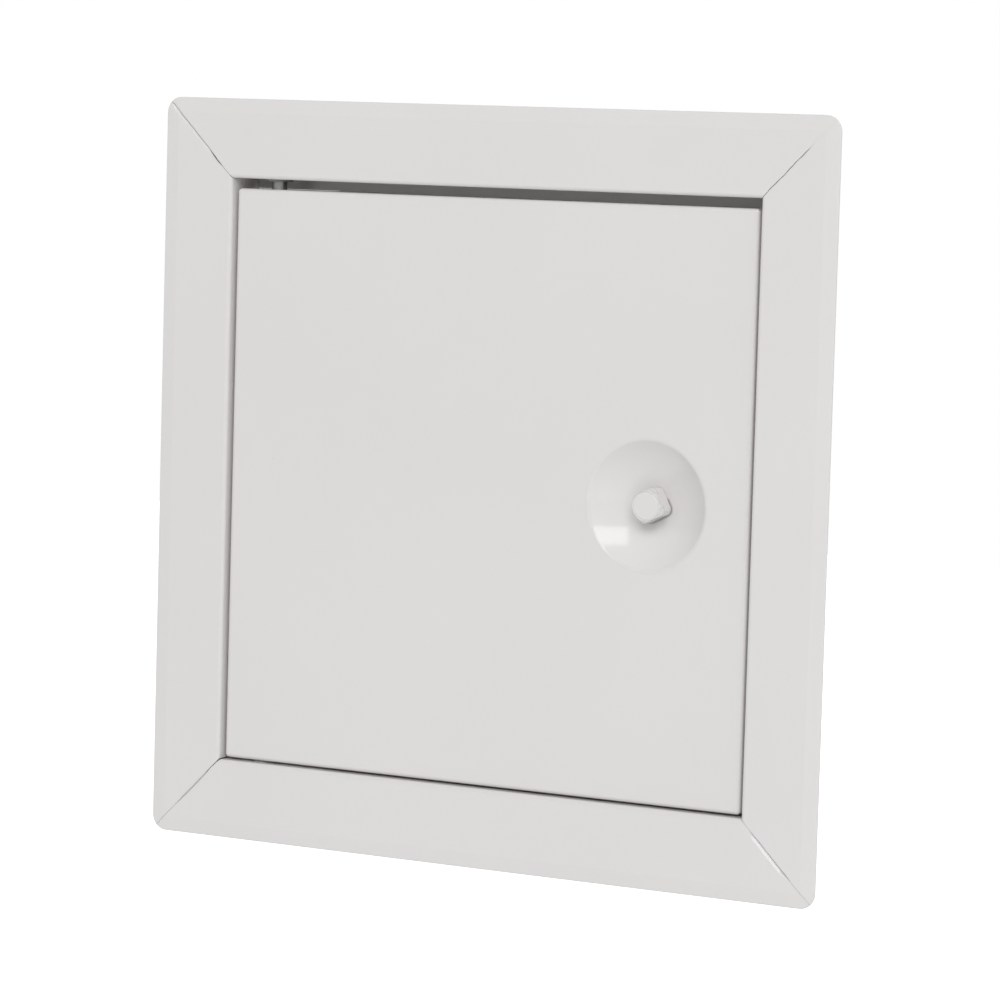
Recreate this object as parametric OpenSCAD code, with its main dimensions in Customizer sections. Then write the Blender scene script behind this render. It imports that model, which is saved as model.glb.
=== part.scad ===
// Flush access panel for a ceiling or a wall: a mitred frame of bent sheet steel,
// a folded door on two inset pivot pins, and a quarter-turn lock in a pressed dish.
// X runs to the right, Y runs into the wall and Z runs up. The origin is the centre
// of the cut-out, on the surface that the frame's rim rests on.

/* [Cut-out] */
// Width of the hole cut in the ceiling or wall
cutout_w = 200; // [180:1:400]
// Height of the hole cut in the ceiling or wall
cutout_h = 200; // [180:1:400]
// Room between the edge of the cut-out and the collar, on each side
cutout_clear = 0.6; // [0.6:0.1:2]

/* [Frame] */
// Thickness of the frame's sheet
frame_t = 1.0; // [0.8:0.1:1.2]
// Width of the visible face, from the opening to the outer edge
face_w = 26.6; // [24:0.1:40]
// Radius of the frame's outer corners
corner_r = 5.4; // [5.2:0.1:9]
// Width of the outer strip of the face that is bent back to the ceiling or wall
edge_w = 5.0; // [3:0.1:5]
// Depth by which that strip falls back at its edge
edge_drop = 0.5; // [0.3:0.1:1]
// Width of the flat at the back of the edge that rests on the ceiling or wall
edge_land = 1.0; // [0.5:0.1:1.5]
// Radius of the bend between face and collar
collar_bend_r = 1.3; // [1.3:0.1:2.5]
// Depth of the collar, from the face to the back of the stop lip
collar_depth = 18; // [17:0.5:24]
// Height of the stop lip that the door closes on
stop_h = 9; // [7:0.5:11]
// Distance from the hinge axis to the start of the upper and lower stop lips
stop_start = 18; // [17:1:40]
// Room above the door's hinge edge, where it swings under the low part of the upper lip
swing_clear = 0.05; // [0.05:0.05:0.5]
// Open seam between two mitred rails
mitre_gap = 0.2; // [0.1:0.05:0.5]
// Diameter of the fixing holes in the side collars
screw_d = 4.5; // [3:0.1:5]
// Spacing of the two fixing holes in one side collar
screw_spacing = 120; // [80:1:130]
// Depth of the fixing holes behind the face
screw_depth = 11.5; // [9:0.5:12]

/* [Corner plates] */
// Thickness of the bent plates that join the rails round the corners of the collar
plate_t = 0.5; // [0.4:0.1:0.6]
// Reach of a corner plate along an upright collar, from the corner
plate_leg = 24; // [15:1:35]
// Reach of a corner plate along an upper or lower collar, which stays clear of the hinge bush
plate_foot = 10; // [6:0.5:11]
// Room between a corner plate and the bends at its front and back
plate_clear = 0.6; // [0.3:0.1:1.5]

/* [Wall anchors] */
// Width of an anchor strip
anchor_w = 15; // [10:1:20]
// Thickness of an anchor strip
anchor_t = 0.6; // [0.4:0.1:1]
// Distance of each anchor from the middle of its rail
anchor_x = 50; // [30:1:60]
// Length of the anchor that is welded to the collar
anchor_root = 9; // [6:0.5:10]
// Length of the free end of the anchor
anchor_leg = 32; // [20:1:45]
// Angle at which the free end is bent outwards
anchor_bend = 18; // [5:1:40]
// Inside radius of the anchor's bend
anchor_bend_r = 2; // [1:0.5:4]
// Depth of the split in the anchor's fishtail end
anchor_split = 9; // [5:0.5:15]

/* [Door] */
// Thickness of the door's sheet
door_t = 1.0; // [0.8:0.1:1.2]
// Depth of the door's front behind the frame's face
door_recess = 2.0; // [1.5:0.1:3]
// Gap between door and frame on the hinge side
hinge_gap = 1.1; // [0.9:0.1:2]
// Gap between door and frame on the lock side
lock_gap = 1.6; // [1:0.1:2.5]
// Gap above the door, through which it lifts off its lower pin
top_gap = 3.4; // [3:0.1:5]
// Outside radius of the door's bent edges
door_bend_r = 1.3; // [1.3:0.1:3]
// Play between the folded edges and the stop lips when the door is shut
door_stop_gap = 0.1; // [0.05:0.05:0.5]
// Width of the seam between two folded edges at a corner of the door
fold_seam = 0.4; // [0.2:0.1:0.8]

/* [Hinge] */
// Distance of the hinge axis from the edge of the opening
hinge_inset = 14.1; // [14:0.1:16]
// Depth of the hinge axis behind the door's front
hinge_setback = 6.0; // [5.8:0.1:6.2]
// Diameter of the hinge pins
pin_d = 5; // [4:0.1:5]
// Clearance between a pin and its bush, on the radius
pin_fit = 0.05; // [0.02:0.01:0.1]
// Diameter of a pin's head
pin_head_d = 8; // [7:0.1:9]
// Thickness of a pin's head
pin_head_t = 2; // [1:0.1:3]
// Length of pin that stands out of the collar
pin_end = 0.5; // [0.3:0.1:1]
// Bevel on the end of a pin
pin_bevel = 0.4; // [0.2:0.1:0.6]
// Wall of a hinge bush
bush_wall = 1.0; // [0.8:0.1:1.2]
// Width of a bush's flange beyond its sleeve
bush_flange_w = 1.0; // [0.8:0.1:2]
// Thickness of a bush's flange
bush_flange_t = 0.7; // [0.5:0.1:1]
// Clearance between a bush and its hole in the collar, on the radius
bush_fit = 0.05; // [0.02:0.01:0.1]
// Play between the door and the flange of the lower bush
pivot_play = 0.05; // [0.02:0.01:0.1]
// Thickness of a hinge bracket
bracket_t = 1.5; // [1:0.1:2]
// Inside bend radius of a hinge bracket
bracket_bend_r = 1.0; // [0.8:0.1:2]
// Reach of a hinge bracket past the hinge axis
bracket_reach = 9; // [7:0.5:15]
// Height of the hinge bracket's upright leg
bracket_leg = 18; // [10:0.5:30]
// Distance of the hinge bracket's rear edge from the rear of the fold
bracket_edge = 1; // [0.5:0.1:3]

/* [Lock] */
// Distance of the lock's axis from the edge of the door
lock_inset = 36.5; // [36:0.5:45]
// Diameter of the pressed dish at the door's front
dish_d = 42.4; // [38:0.1:46]
// Depth of the dish
dish_depth = 6.5; // [6:0.1:8]
// Diameter of the dish's flat floor
dish_floor_d = 16; // [15:0.1:18]
// Radius of the dish's rim
dish_rim_r = 2; // [1:0.1:3]
// Size of the square that the key turns, across its flats
square_w = 9.7; // [9:0.1:10]
// Radius of the square's long edges
square_edge_r = 2.2; // [0.5:0.1:2.5]
// Diameter of the turned front of the square
square_front_d = 9.5; // [8.5:0.1:10]
// Length of the turned bevel on the front of the square
square_bevel = 3.4; // [0.5:0.1:4]
// Length of the square that stands out in front of the door
square_proud = 0.6; // [0:0.1:1.5]
// Diameter of the spindle's shank
shank_d = 8; // [7:0.1:8]
// Clearance between the shank and its bush, on the radius
shank_fit = 0.05; // [0.02:0.01:0.1]
// Clearance between the shank and the hole in the dish, on the radius
shank_hole_clear = 0.2; // [0.1:0.05:0.5]
// Outside diameter of the lock bush
lock_bush_d = 18; // [17.5:0.1:20]
// Size across the two flats that drive the cam
tang_w = 6; // [5.5:0.1:6.5]
// Clearance of the cam and the stop washer on the flats
tang_fit = 0.05; // [0.02:0.01:0.1]
// Diameter of the spindle's threaded end
thread_d = 6; // [5:0.5:6]
// Length of thread that stands out of the nut
thread_end = 1.5; // [0.5:0.1:3]
// Diameter of the stop lug on the lock bush
lug_d = 3; // [2.5:0.1:3]
// Distance of the stop lug from the lock's axis
lug_offset = 7; // [6.9:0.1:7]
// Clearance of the stop lug in its slot
lug_clear = 0.2; // [0.1:0.05:0.3]
// Diameter of the stop washer
stop_washer_d = 21; // [19:0.1:24]
// Thickness of the stop washer
stop_washer_t = 1.5; // [1:0.1:2]
// Room between the stop lip and the turned cam
cam_gap = 0.3; // [0.2:0.05:1]
// Thickness of the cam
cam_t = 3; // [2:0.1:4]
// Distance from the lock's axis to the tip of the cam
cam_reach = 37; // [34:0.5:40]
// Radius of the cam's hub
cam_hub_r = 9; // [7.5:0.1:11]
// Radius of the cam's tip
cam_tip_r = 5.5; // [4:0.1:7]
// Angle of the ramp on the cam's leading edge
cam_ramp = 12; // [5:1:20]
// Width of the ramp on the cam's leading edge
cam_ramp_w = 4; // [2:0.1:5]
// Diameter of the flat washer under the nut
washer_d = 12; // [11:0.1:14]
// Thickness of the flat washer under the nut
washer_t = 1.6; // [1:0.1:2]
// Diameter of the conical spring washer
spring_d = 11; // [10:0.1:12]
// Sheet thickness of the conical spring washer
spring_t = 0.7; // [0.5:0.05:1]
// Rise of the conical spring washer
spring_rise = 0.5; // [0.3:0.05:0.8]
// Size of the nut across its flats
nut_w = 10; // [9:0.5:11]
// Thickness of the nut
nut_t = 5; // [3:0.5:6]
// Clearance of washers and nut on the thread, on the radius
thread_fit = 0.05; // [0.02:0.01:0.2]
// Angle through which the square is turned from the cam's hanging position
lock_rest = 27; // [0:0.5:30]
// Angle from the hanging cam to the locked cam
lock_throw = 90; // [90:1:100]

/* [Hidden] */
$fn = 72;

// Clear opening inside the collar
open_w = cutout_w - 2 * cutout_clear - 2 * frame_t;
open_h = cutout_h - 2 * cutout_clear - 2 * frame_t;

// Depths of the frame
face_y = -frame_t - edge_drop;
stop_back_y = face_y + collar_depth;
stop_front_y = stop_back_y - frame_t;

// Door
door_y = face_y + door_recess;
fold_y = stop_front_y - door_stop_gap;
door_left = -open_w / 2 + hinge_gap;
door_right = open_w / 2 - lock_gap;
door_mid_x = (door_left + door_right) / 2;
door_top = open_h / 2 - top_gap;
door_bottom = -open_h / 2 + bush_flange_t + pivot_play;
door_mid_z = (door_top + door_bottom) / 2;

// Hinge axis and bushes
hinge_x = -open_w / 2 + hinge_inset;
hinge_y = door_y + hinge_setback;
bush_r = pin_d / 2 + pin_fit + bush_wall;

// Lock axis and depths along it
lock_x = door_right - lock_inset;
lock_z = door_mid_z;
head_y = door_y - square_proud;
floor_y = door_y + dish_depth;
bush_front_y = floor_y + door_t;
cam_y = stop_back_y + cam_gap;
stop_washer_y = cam_y - stop_washer_t;
washer_y = cam_y + cam_t;
spring_y = washer_y + washer_t;
nut_y = spring_y + spring_t + spring_rise;
thread_end_y = nut_y + nut_t + thread_end;

// Dish: a sphere through the rim and through the edge of the floor
rim_r = dish_d / 2;
floor_r = dish_floor_d / 2;
dish_k = (rim_r * rim_r - floor_r * floor_r - dish_depth * dish_depth) / (2 * dish_depth);
dish_r = sqrt(rim_r * rim_r + dish_k * dish_k);
rim_out_r = sqrt(pow(dish_r + dish_rim_r, 2) - pow(dish_k + dish_rim_r, 2));

// Overlap that carries a cut past a surface
past = 1;
// Depth by which a side sinks into the piece it runs on into
blend = 0.05;

// A flat drawing in X and Z, given depth from y0 to y1
module slab(y0, y1) {
    translate([0, y1, 0])
        rotate([90, 0, 0])
            linear_extrude(y1 - y0)
                children();
}

// A flat drawing of depth and height, carried along X from x0 to x1
module along_x(x0, x1) {
    translate([x0, 0, 0])
        rotate([90, 0, 90])
            linear_extrude(x1 - x0)
                children();
}

// Points along an arc about a centre, from angle a0 to angle a1
function arc(centre, r, a0, a1, steps) =
    [for (i = [0:steps]) centre + r * [cos(a0 + (a1 - a0) * i / steps), sin(a0 + (a1 - a0) * i / steps)]];

// Part of a ring between two angles that are at most 120 degrees apart
module ring_sector(r_in, r_out, a0, a1) {
    far = 3 * r_out;
    mid = (a0 + a1) / 2;
    intersection() {
        difference() {
            circle(r_out);
            circle(r_in);
        }
        polygon([[0, 0], far * [cos(a0), sin(a0)], far * [cos(mid), sin(mid)], far * [cos(a1), sin(a1)]]);
    }
}

// Section of the face's outer edge: first value is depth, second runs outwards from the corner's centre
module edge_section() {
    bend = corner_r - edge_w;
    polygon([[0, 0], [0, bend], [edge_drop, corner_r], [edge_drop + frame_t, corner_r],
             [edge_drop + frame_t, corner_r - edge_land], [frame_t, bend], [frame_t, 0]]);
}

// Section of the face, the collar and a stop lip of height lip_h, or no lip where that is 0:
// first value is depth, second runs outwards from the opening
module face_section(lip_h) {
    collar_end = lip_h > 0 ? collar_depth - collar_bend_r : collar_depth;
    translate([0, collar_bend_r])
        square([frame_t, face_w - corner_r - collar_bend_r + blend]);
    translate([collar_bend_r, collar_bend_r])
        ring_sector(collar_bend_r - frame_t, collar_bend_r, 180, 270);
    translate([collar_bend_r, 0])
        square([collar_end - collar_bend_r, frame_t]);
    if (lip_h > 0) {
        translate([collar_end, frame_t - collar_bend_r])
            ring_sector(collar_bend_r - frame_t, collar_bend_r, 0, 90);
        translate([collar_depth - frame_t, -lip_h])
            square([frame_t, lip_h + frame_t - collar_bend_r]);
    }
}

// The round end of an outer edge, swept from its outward direction towards the next rail
module corner_end(start) {
    rotate([-90, 0, 0])
        rotate([0, 0, start])
            rotate_extrude(angle = 50)
                mirror([1, -1])
                    edge_section();
}

// One rail along X on the +Z side of the opening, with its stop lip between stop_x0 and stop_x1,
// and a lip of height low_h over the rest of its length, which ends square at the left collar
module rail(along, across, stop_x0, stop_x1, low_h) {
    end = along / 2 + face_w;
    turn_x = end - corner_r;
    turn_z = across / 2 + face_w - corner_r;
    cut = mitre_gap / sqrt(2);
    low = along / 2 - stop_h - past - cut;
    left = low_h > 0 ? along / 2 - cut : low;
    high = along / 2 + face_w + past - cut;
    intersection() {
        translate([0, face_y, 0]) {
            translate([0, 0, across / 2]) {
                if (stop_x1 > stop_x0)
                    along_x(stop_x0, stop_x1)
                        face_section(stop_h);
                if (stop_x0 > -end)
                    along_x(-end, min(stop_x0, end))
                        face_section(low_h);
                if (stop_x1 < end && stop_x1 > stop_x0)
                    along_x(stop_x1, end)
                        face_section(low_h);
            }
            translate([0, 0, turn_z])
                along_x(-turn_x, turn_x)
                    edge_section();
            translate([turn_x, 0, turn_z])
                corner_end(-90);
            translate([-turn_x, 0, turn_z])
                corner_end(-140);
        }
        slab(face_y - past, stop_back_y + past)
            polygon([[-left, across / 2 - stop_h - past], [low, across / 2 - stop_h - past],
                     [high, across / 2 + face_w + past], [-high, across / 2 + face_w + past],
                     [-left, across / 2 - along / 2 + left + cut]]);
    }
}

// Holes for the two hinge bushes
module bush_holes() {
    reach = open_h / 2 + frame_t + past;
    translate([hinge_x, hinge_y, -reach])
        cylinder(r = bush_r + bush_fit, h = 2 * reach);
}

// Fixing holes in the two side collars
module screw_holes() {
    reach = open_w / 2 + frame_t + past;
    for (z = [-screw_spacing / 2, screw_spacing / 2])
        translate([-reach, face_y + screw_depth, z])
            rotate([0, 90, 0])
                cylinder(d = screw_d, h = 2 * reach);
}

module frame_rail_top() {
    color("gainsboro")
        difference() {
            rail(open_w, open_h, hinge_x + stop_start, open_w / 2 + face_w, top_gap - swing_clear);
            bush_holes();
        }
}

module frame_rail_bottom() {
    color("gainsboro")
        difference() {
            rotate([0, 180, 0])
                rail(open_w, open_h, -open_w / 2 - face_w, -hinge_x - stop_start, 0);
            bush_holes();
        }
}

module frame_rail_left() {
    color("gainsboro")
        difference() {
            rotate([0, -90, 0])
                rail(open_h, open_w, open_h, open_h, 0);
            screw_holes();
        }
}

module frame_rail_right() {
    color("gainsboro")
        difference() {
            rotate([0, 90, 0])
                rail(open_h, open_w, -open_h / 2 - face_w, open_h / 2 + face_w, 0);
            screw_holes();
        }
}

// Plate bent round the outside of the collar at one corner, across the mitre
module corner_plate(side_x, side_z) {
    color("gainsboro")
        slab(face_y + collar_bend_r + plate_clear, stop_back_y - collar_bend_r - plate_clear)
            scale_sides(side_x, side_z)
                translate([open_w / 2 + frame_t, open_h / 2 + frame_t])
                    polygon(concat([[0, 0], [-plate_foot, 0], [-plate_foot, plate_t]],
                                   arc([0, 0], plate_t, 90, 0, 6),
                                   [[plate_t, -plate_leg], [0, -plate_leg]]));
}

// Mirrors a drawing of the upper right corner to another corner
module scale_sides(side_x, side_z) {
    mirror([side_x < 0 ? 1 : 0, 0])
        mirror([0, side_z < 0 ? 1 : 0])
            children();
}

// Strip welded to the outside of an upper or lower collar, with a bent fishtail end
module wall_anchor(side_x, side_z) {
    root_y = stop_back_y - collar_bend_r - anchor_root;
    turn_y = root_y + anchor_root;
    centre = [turn_y, anchor_t + anchor_bend_r];
    leg = anchor_leg * [cos(anchor_bend), sin(anchor_bend)];
    under = arc(centre, anchor_bend_r + anchor_t, -90, anchor_bend - 90, 8);
    over = arc(centre, anchor_bend_r, anchor_bend - 90, -90, 8);
    color("silver")
        mirror([0, 0, side_z < 0 ? 1 : 0])
            translate([side_x * anchor_x - anchor_w / 2, 0, open_h / 2 + frame_t])
                difference() {
                    along_x(0, anchor_w)
                        polygon(concat([[root_y, 0]], under, [under[8] + leg, over[0] + leg], over, [[root_y, anchor_t]]));
                    translate([anchor_w / 2, turn_y, anchor_t + anchor_bend_r])
                        rotate([anchor_bend, 0, 0])
                            translate([0, anchor_leg, -anchor_bend_r - anchor_t - past])
                                linear_extrude(anchor_t + 2 * past)
                                    polygon([[-anchor_w / 4, past], [anchor_w / 4, past], [0, -anchor_split]]);
                }
}

// Flanged sleeve in a collar, drawn for the upper hinge
module hinge_bush() {
    translate([hinge_x, hinge_y, open_h / 2])
        difference() {
            union() {
                cylinder(r = bush_r, h = frame_t);
                translate([0, 0, -bush_flange_t])
                    cylinder(r = bush_r + bush_flange_w, h = bush_flange_t);
            }
            translate([0, 0, -bush_flange_t - past])
                cylinder(r = pin_d / 2 + pin_fit, h = bush_flange_t + frame_t + 2 * past);
        }
}

module hinge_bush_top() {
    color("whitesmoke")
        hinge_bush();
}

module hinge_bush_bottom() {
    color("whitesmoke")
        mirror([0, 0, 1])
            hinge_bush();
}

// Section of a folded edge: first value is depth, second runs outwards from the bend's centre
module fold_section() {
    translate([door_bend_r, 0])
        ring_sector(door_bend_r - door_t, door_bend_r, 90, 180);
    translate([door_bend_r, door_bend_r - door_t])
        square([fold_y - door_y - door_bend_r, door_t]);
}

// One folded edge along X on the +Z side, with the rounded corner at its right end
module fold(along, across) {
    translate([0, door_y, across]) {
        along_x(-along, along)
            fold_section();
        translate([along, 0, 0])
            rotate([-90, 0, 0])
                rotate([0, 0, -90])
                    rotate_extrude(angle = 90)
                        mirror([1, -1])
                            fold_section();
    }
}

// Section of the pressed dish: first value is the radius, second is depth behind the door's front
module dish_section() {
    reach = dish_r / (dish_r + dish_rim_r);
    difference() {
        union() {
            square([rim_out_r, door_t]);
            intersection() {
                translate([0, -dish_k])
                    circle(dish_r + door_t);
                square([rim_out_r, dish_depth + door_t]);
            }
        }
        intersection() {
            translate([0, -dish_k])
                circle(dish_r);
            translate([-past, -past])
                square([rim_out_r + past, dish_depth + past]);
        }
        translate([-past, -past])
            square([shank_d / 2 + shank_hole_clear + past, dish_depth + door_t + 2 * past]);
        difference() {
            polygon([[rim_out_r, 0], [rim_out_r, -past], [rim_r - past, -past],
                     [rim_out_r * reach, (dish_k + dish_rim_r) * reach - dish_k]]);
            translate([rim_out_r, dish_rim_r])
                circle(dish_rim_r);
        }
    }
}

module door_panel() {
    flat_x = (door_right - door_left) / 2 - door_bend_r;
    flat_z = (door_top - door_bottom) / 2 - door_bend_r;
    color("gainsboro")
        difference() {
            translate([door_mid_x, 0, door_mid_z]) {
                difference() {
                    slab(door_y, door_y + door_t)
                        square([2 * flat_x, 2 * flat_z], center = true);
                    translate([lock_x - door_mid_x, door_y - past, lock_z - door_mid_z])
                        rotate([-90, 0, 0])
                            cylinder(r = rim_out_r, h = door_t + 2 * past);
                }
                for (side = [0, 180])
                    rotate([0, side, 0])
                        fold(flat_x, flat_z);
                for (side = [-90, 90])
                    rotate([0, side, 0])
                        fold(flat_z, flat_x);
                translate([lock_x - door_mid_x, door_y, lock_z - door_mid_z])
                    rotate([-90, 0, 0])
                        rotate_extrude()
                            dish_section();
            }
            for (side_x = [-1, 1], side_z = [-1, 1])
                translate([door_mid_x + side_x * flat_x, door_y + door_bend_r,
                           door_mid_z + side_z * flat_z])
                    rotate([0, -side_x * side_z * 45, 0])
                        translate([side_x > 0 ? 0 : -2 * door_bend_r, 0, -fold_seam / 2])
                            cube([2 * door_bend_r, fold_y - door_y, fold_seam]);
            translate([hinge_x, hinge_y, -open_h])
                cylinder(r = pin_d / 2 + pin_fit, h = 2 * open_h);
        }
}

// Angle welded into the door's corner, with the hole that carries the pin, drawn for the upper hinge
module hinge_bracket(edge_z) {
    inside_x = door_left + door_t;
    inside_z = edge_z - door_t;
    bend_out = bracket_bend_r + bracket_t;
    difference() {
        slab(door_y + door_bend_r, fold_y - bracket_edge)
            translate([inside_x, inside_z]) {
                translate([bend_out, -bend_out])
                    ring_sector(bracket_bend_r, bend_out, 90, 180);
                translate([bend_out, -bracket_t])
                    square([hinge_x + bracket_reach - inside_x - bend_out, bracket_t]);
                translate([0, -bracket_leg])
                    square([bracket_t, bracket_leg - bend_out]);
            }
        translate([hinge_x, hinge_y, inside_z - bracket_t - past])
            cylinder(r = pin_d / 2 + pin_fit, h = bracket_t + 2 * past);
    }
}

module hinge_bracket_top() {
    color("gainsboro")
        hinge_bracket(door_top);
}

module hinge_bracket_bottom() {
    color("gainsboro")
        mirror([0, 0, 1])
            hinge_bracket(-door_bottom);
}

// Headed pin through bracket, fold and bush, drawn for the upper hinge
module hinge_pin(edge_z) {
    seat_z = edge_z - door_t - bracket_t;
    tip_z = open_h / 2 + frame_t + pin_end;
    translate([hinge_x, hinge_y, seat_z]) {
        translate([0, 0, -pin_head_t])
            cylinder(d = pin_head_d, h = pin_head_t);
        cylinder(d = pin_d, h = tip_z - seat_z - pin_bevel);
        translate([0, 0, tip_z - seat_z - pin_bevel])
            cylinder(d1 = pin_d, d2 = pin_d - 2 * pin_bevel, h = pin_bevel);
    }
}

module hinge_pin_top() {
    color("silver")
        hinge_pin(door_top);
}

module hinge_pin_bottom() {
    color("silver")
        mirror([0, 0, 1])
            hinge_pin(-door_bottom);
}

// Puts a drawing on the lock's axis, its height running into the wall and its X pointing down
module on_lock(y) {
    translate([lock_x, y, lock_z])
        rotate([-90, 0, 0])
            rotate([0, 0, 90])
                children();
}

// The same, turned with the square
module on_spindle(y) {
    on_lock(y)
        rotate([0, 0, -lock_rest])
            children();
}

// Round bar with two flats
module tang_outline(grow) {
    intersection() {
        circle(d = shank_d + 2 * grow);
        square([tang_w + 2 * grow, 2 * shank_d], center = true);
    }
}

module lock_bush() {
    length = stop_washer_y - bush_front_y;
    color("silver")
        on_lock(bush_front_y) {
            difference() {
                cylinder(d = lock_bush_d, h = length);
                translate([0, 0, -past])
                    cylinder(d = shank_d + 2 * shank_fit, h = length + 2 * past);
            }
            translate([-lug_offset, 0, length - past])
                cylinder(d = lug_d, h = past + stop_washer_t - lug_clear);
        }
}

// Square with rounded corners
module square_outline(width, edge_r) {
    square([width, width - 2 * edge_r], center = true);
    square([width - 2 * edge_r, width], center = true);
    for (x = [-1, 1], y = [-1, 1])
        translate((width / 2 - edge_r) * [x, y])
            circle(edge_r);
}

module lock_spindle() {
    head_l = floor_y - head_y;
    corner_r = square_w / sqrt(2);
    front_r = square_front_d / 2;
    color("gainsboro")
        on_spindle(head_y) {
            intersection() {
                linear_extrude(head_l)
                    square_outline(square_w, square_edge_r);
                rotate_extrude()
                    polygon([[0, 0], [front_r, 0], [corner_r, square_bevel], [corner_r, head_l], [0, head_l]]);
            }
            translate([0, 0, head_l])
                cylinder(d = shank_d, h = stop_washer_y - floor_y);
            translate([0, 0, stop_washer_y - head_y])
                linear_extrude(washer_y - stop_washer_y)
                    tang_outline(0);
            translate([0, 0, washer_y - head_y])
                cylinder(d = thread_d, h = thread_end_y - washer_y);
        }
}

module stop_washer() {
    color("silver")
        on_spindle(stop_washer_y)
            linear_extrude(stop_washer_t)
                difference() {
                    circle(d = stop_washer_d);
                    tang_outline(tang_fit);
                    ring_sector(lug_offset - lug_d / 2 - lug_clear, lug_offset + lug_d / 2 + lug_clear,
                                180, 180 + lock_throw);
                    for (a = [180, 180 + lock_throw])
                        rotate(a)
                            translate([lug_offset, 0])
                                circle(d = lug_d + 2 * lug_clear);
                }
}

// Arm from hub to tip with straight sides that run into both rounds
module cam_arm() {
    tip_x = cam_reach - cam_tip_r;
    lean = acos((cam_hub_r - cam_tip_r) / tip_x);
    hub = (cam_hub_r - blend) * [cos(lean), sin(lean)];
    tip = (cam_tip_r - blend) * [cos(lean), sin(lean)];
    cylinder(r = cam_hub_r, h = cam_t);
    translate([tip_x, 0, 0])
        cylinder(r = cam_tip_r, h = cam_t);
    linear_extrude(cam_t)
        polygon([hub, [tip_x + tip[0], tip[1]], [tip_x + tip[0], -tip[1]], [hub[0], -hub[1]]]);
}

module lock_cam() {
    color("silver")
        on_spindle(cam_y)
            difference() {
                cam_arm();
                translate([0, 0, -past])
                    linear_extrude(cam_t + 2 * past)
                        tang_outline(tang_fit);
                translate([stop_washer_d / 2 + past, cam_ramp_w - cam_tip_r, 0])
                    rotate([-cam_ramp, 0, 0])
                        translate([0, -cam_hub_r, -cam_t])
                            cube([cam_reach, cam_hub_r, cam_t]);
            }
}

module cam_washer() {
    color("silver")
        on_spindle(washer_y)
            difference() {
                cylinder(d = washer_d, h = washer_t);
                translate([0, 0, -past])
                    cylinder(d = thread_d + 2 * thread_fit, h = washer_t + 2 * past);
            }
}

module spring_washer() {
    bore_r = thread_d / 2 + thread_fit;
    color("darkgray")
        on_spindle(spring_y)
            rotate_extrude()
                polygon([[bore_r, spring_rise], [bore_r, spring_rise + spring_t],
                         [spring_d / 2, spring_t], [spring_d / 2, 0]]);
}

module cam_nut() {
    color("silver")
        on_spindle(nut_y)
            difference() {
                cylinder(d = nut_w / cos(30), h = nut_t, $fn = 6);
                translate([0, 0, -past])
                    cylinder(d = thread_d + 2 * thread_fit, h = nut_t + 2 * past);
            }
}

frame_rail_top();
frame_rail_bottom();
frame_rail_left();
frame_rail_right();
corner_plate(-1, 1);  // corner_plate_top_left
corner_plate(1, 1);  // corner_plate_top_right
corner_plate(-1, -1);  // corner_plate_bottom_left
corner_plate(1, -1);  // corner_plate_bottom_right
wall_anchor(-1, 1);  // wall_anchor_top_left
wall_anchor(1, 1);  // wall_anchor_top_right
wall_anchor(-1, -1);  // wall_anchor_bottom_left
wall_anchor(1, -1);  // wall_anchor_bottom_right
hinge_bush_top();
hinge_bush_bottom();
door_panel();
hinge_bracket_top();
hinge_bracket_bottom();
hinge_pin_top();
hinge_pin_bottom();
lock_bush();
lock_spindle();
stop_washer();
lock_cam();
cam_washer();
spring_washer();
cam_nut();
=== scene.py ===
"""Looks of a flush access panel: painted frame and door, square-key lock, pins, bushes and wall anchors.

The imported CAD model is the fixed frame. Sizes are in millimetres in its axes: X runs to the right,
Y runs into the wall and Z runs up, and the origin is the centre of the cut-out on the wall's surface.
"""

import logging
import math
from dataclasses import dataclass, field
from enum import Enum

import bmesh
import bpy
import numpy as np
from mathutils import Matrix, Vector

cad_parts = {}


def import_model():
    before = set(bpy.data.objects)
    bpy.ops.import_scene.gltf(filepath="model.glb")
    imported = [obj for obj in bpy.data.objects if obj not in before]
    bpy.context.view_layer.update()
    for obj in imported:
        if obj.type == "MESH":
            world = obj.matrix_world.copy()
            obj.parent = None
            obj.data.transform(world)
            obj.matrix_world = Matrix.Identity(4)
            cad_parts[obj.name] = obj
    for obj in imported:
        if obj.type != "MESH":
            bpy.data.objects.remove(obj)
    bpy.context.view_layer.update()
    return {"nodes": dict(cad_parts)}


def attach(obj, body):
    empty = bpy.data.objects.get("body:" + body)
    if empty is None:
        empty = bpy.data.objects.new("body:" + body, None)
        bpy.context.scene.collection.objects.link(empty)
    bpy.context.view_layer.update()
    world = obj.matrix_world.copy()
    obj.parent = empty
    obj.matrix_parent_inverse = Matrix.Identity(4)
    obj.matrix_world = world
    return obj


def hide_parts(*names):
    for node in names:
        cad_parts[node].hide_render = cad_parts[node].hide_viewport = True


LOG = logging.getLogger("access_panel")
MM = 0.001

# Places in the CAD model: fronts of frame and door, width of the opening, hinge, lock and its angle at rest,
# and height of a full lip
FACE_Y = -1.5
DOOR_Y = 0.5
OPENING = 196.8
HINGE_X = -84.3
HINGE_Y = 6.5
LOCK_X = 60.3
LOCK_Z = -1.325
LOCK_REST = math.radians(27.0)
LIP = 9.0

# Angles of the points on a cut edge's two corners, faces across a punched hole, room round it in radii,
# and columns round the lock's axis
CUT_TURNS = (30.0, 60.0, 90.0)
CUT_POINTS = 2 * len(CUT_TURNS)
HOLE_STEPS = 8
HOLE_ROOM = 1.12
AROUND = 192

# Socket types of node groups, and plain white
FLOAT = "NodeSocketFloat"
VECTOR = "NodeSocketVector"
WHITE = (1.0, 1.0, 1.0, 1.0)

# Short names of types
Array = np.ndarray
Socket = bpy.types.NodeSocket
Triple = tuple[float, float, float]


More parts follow.
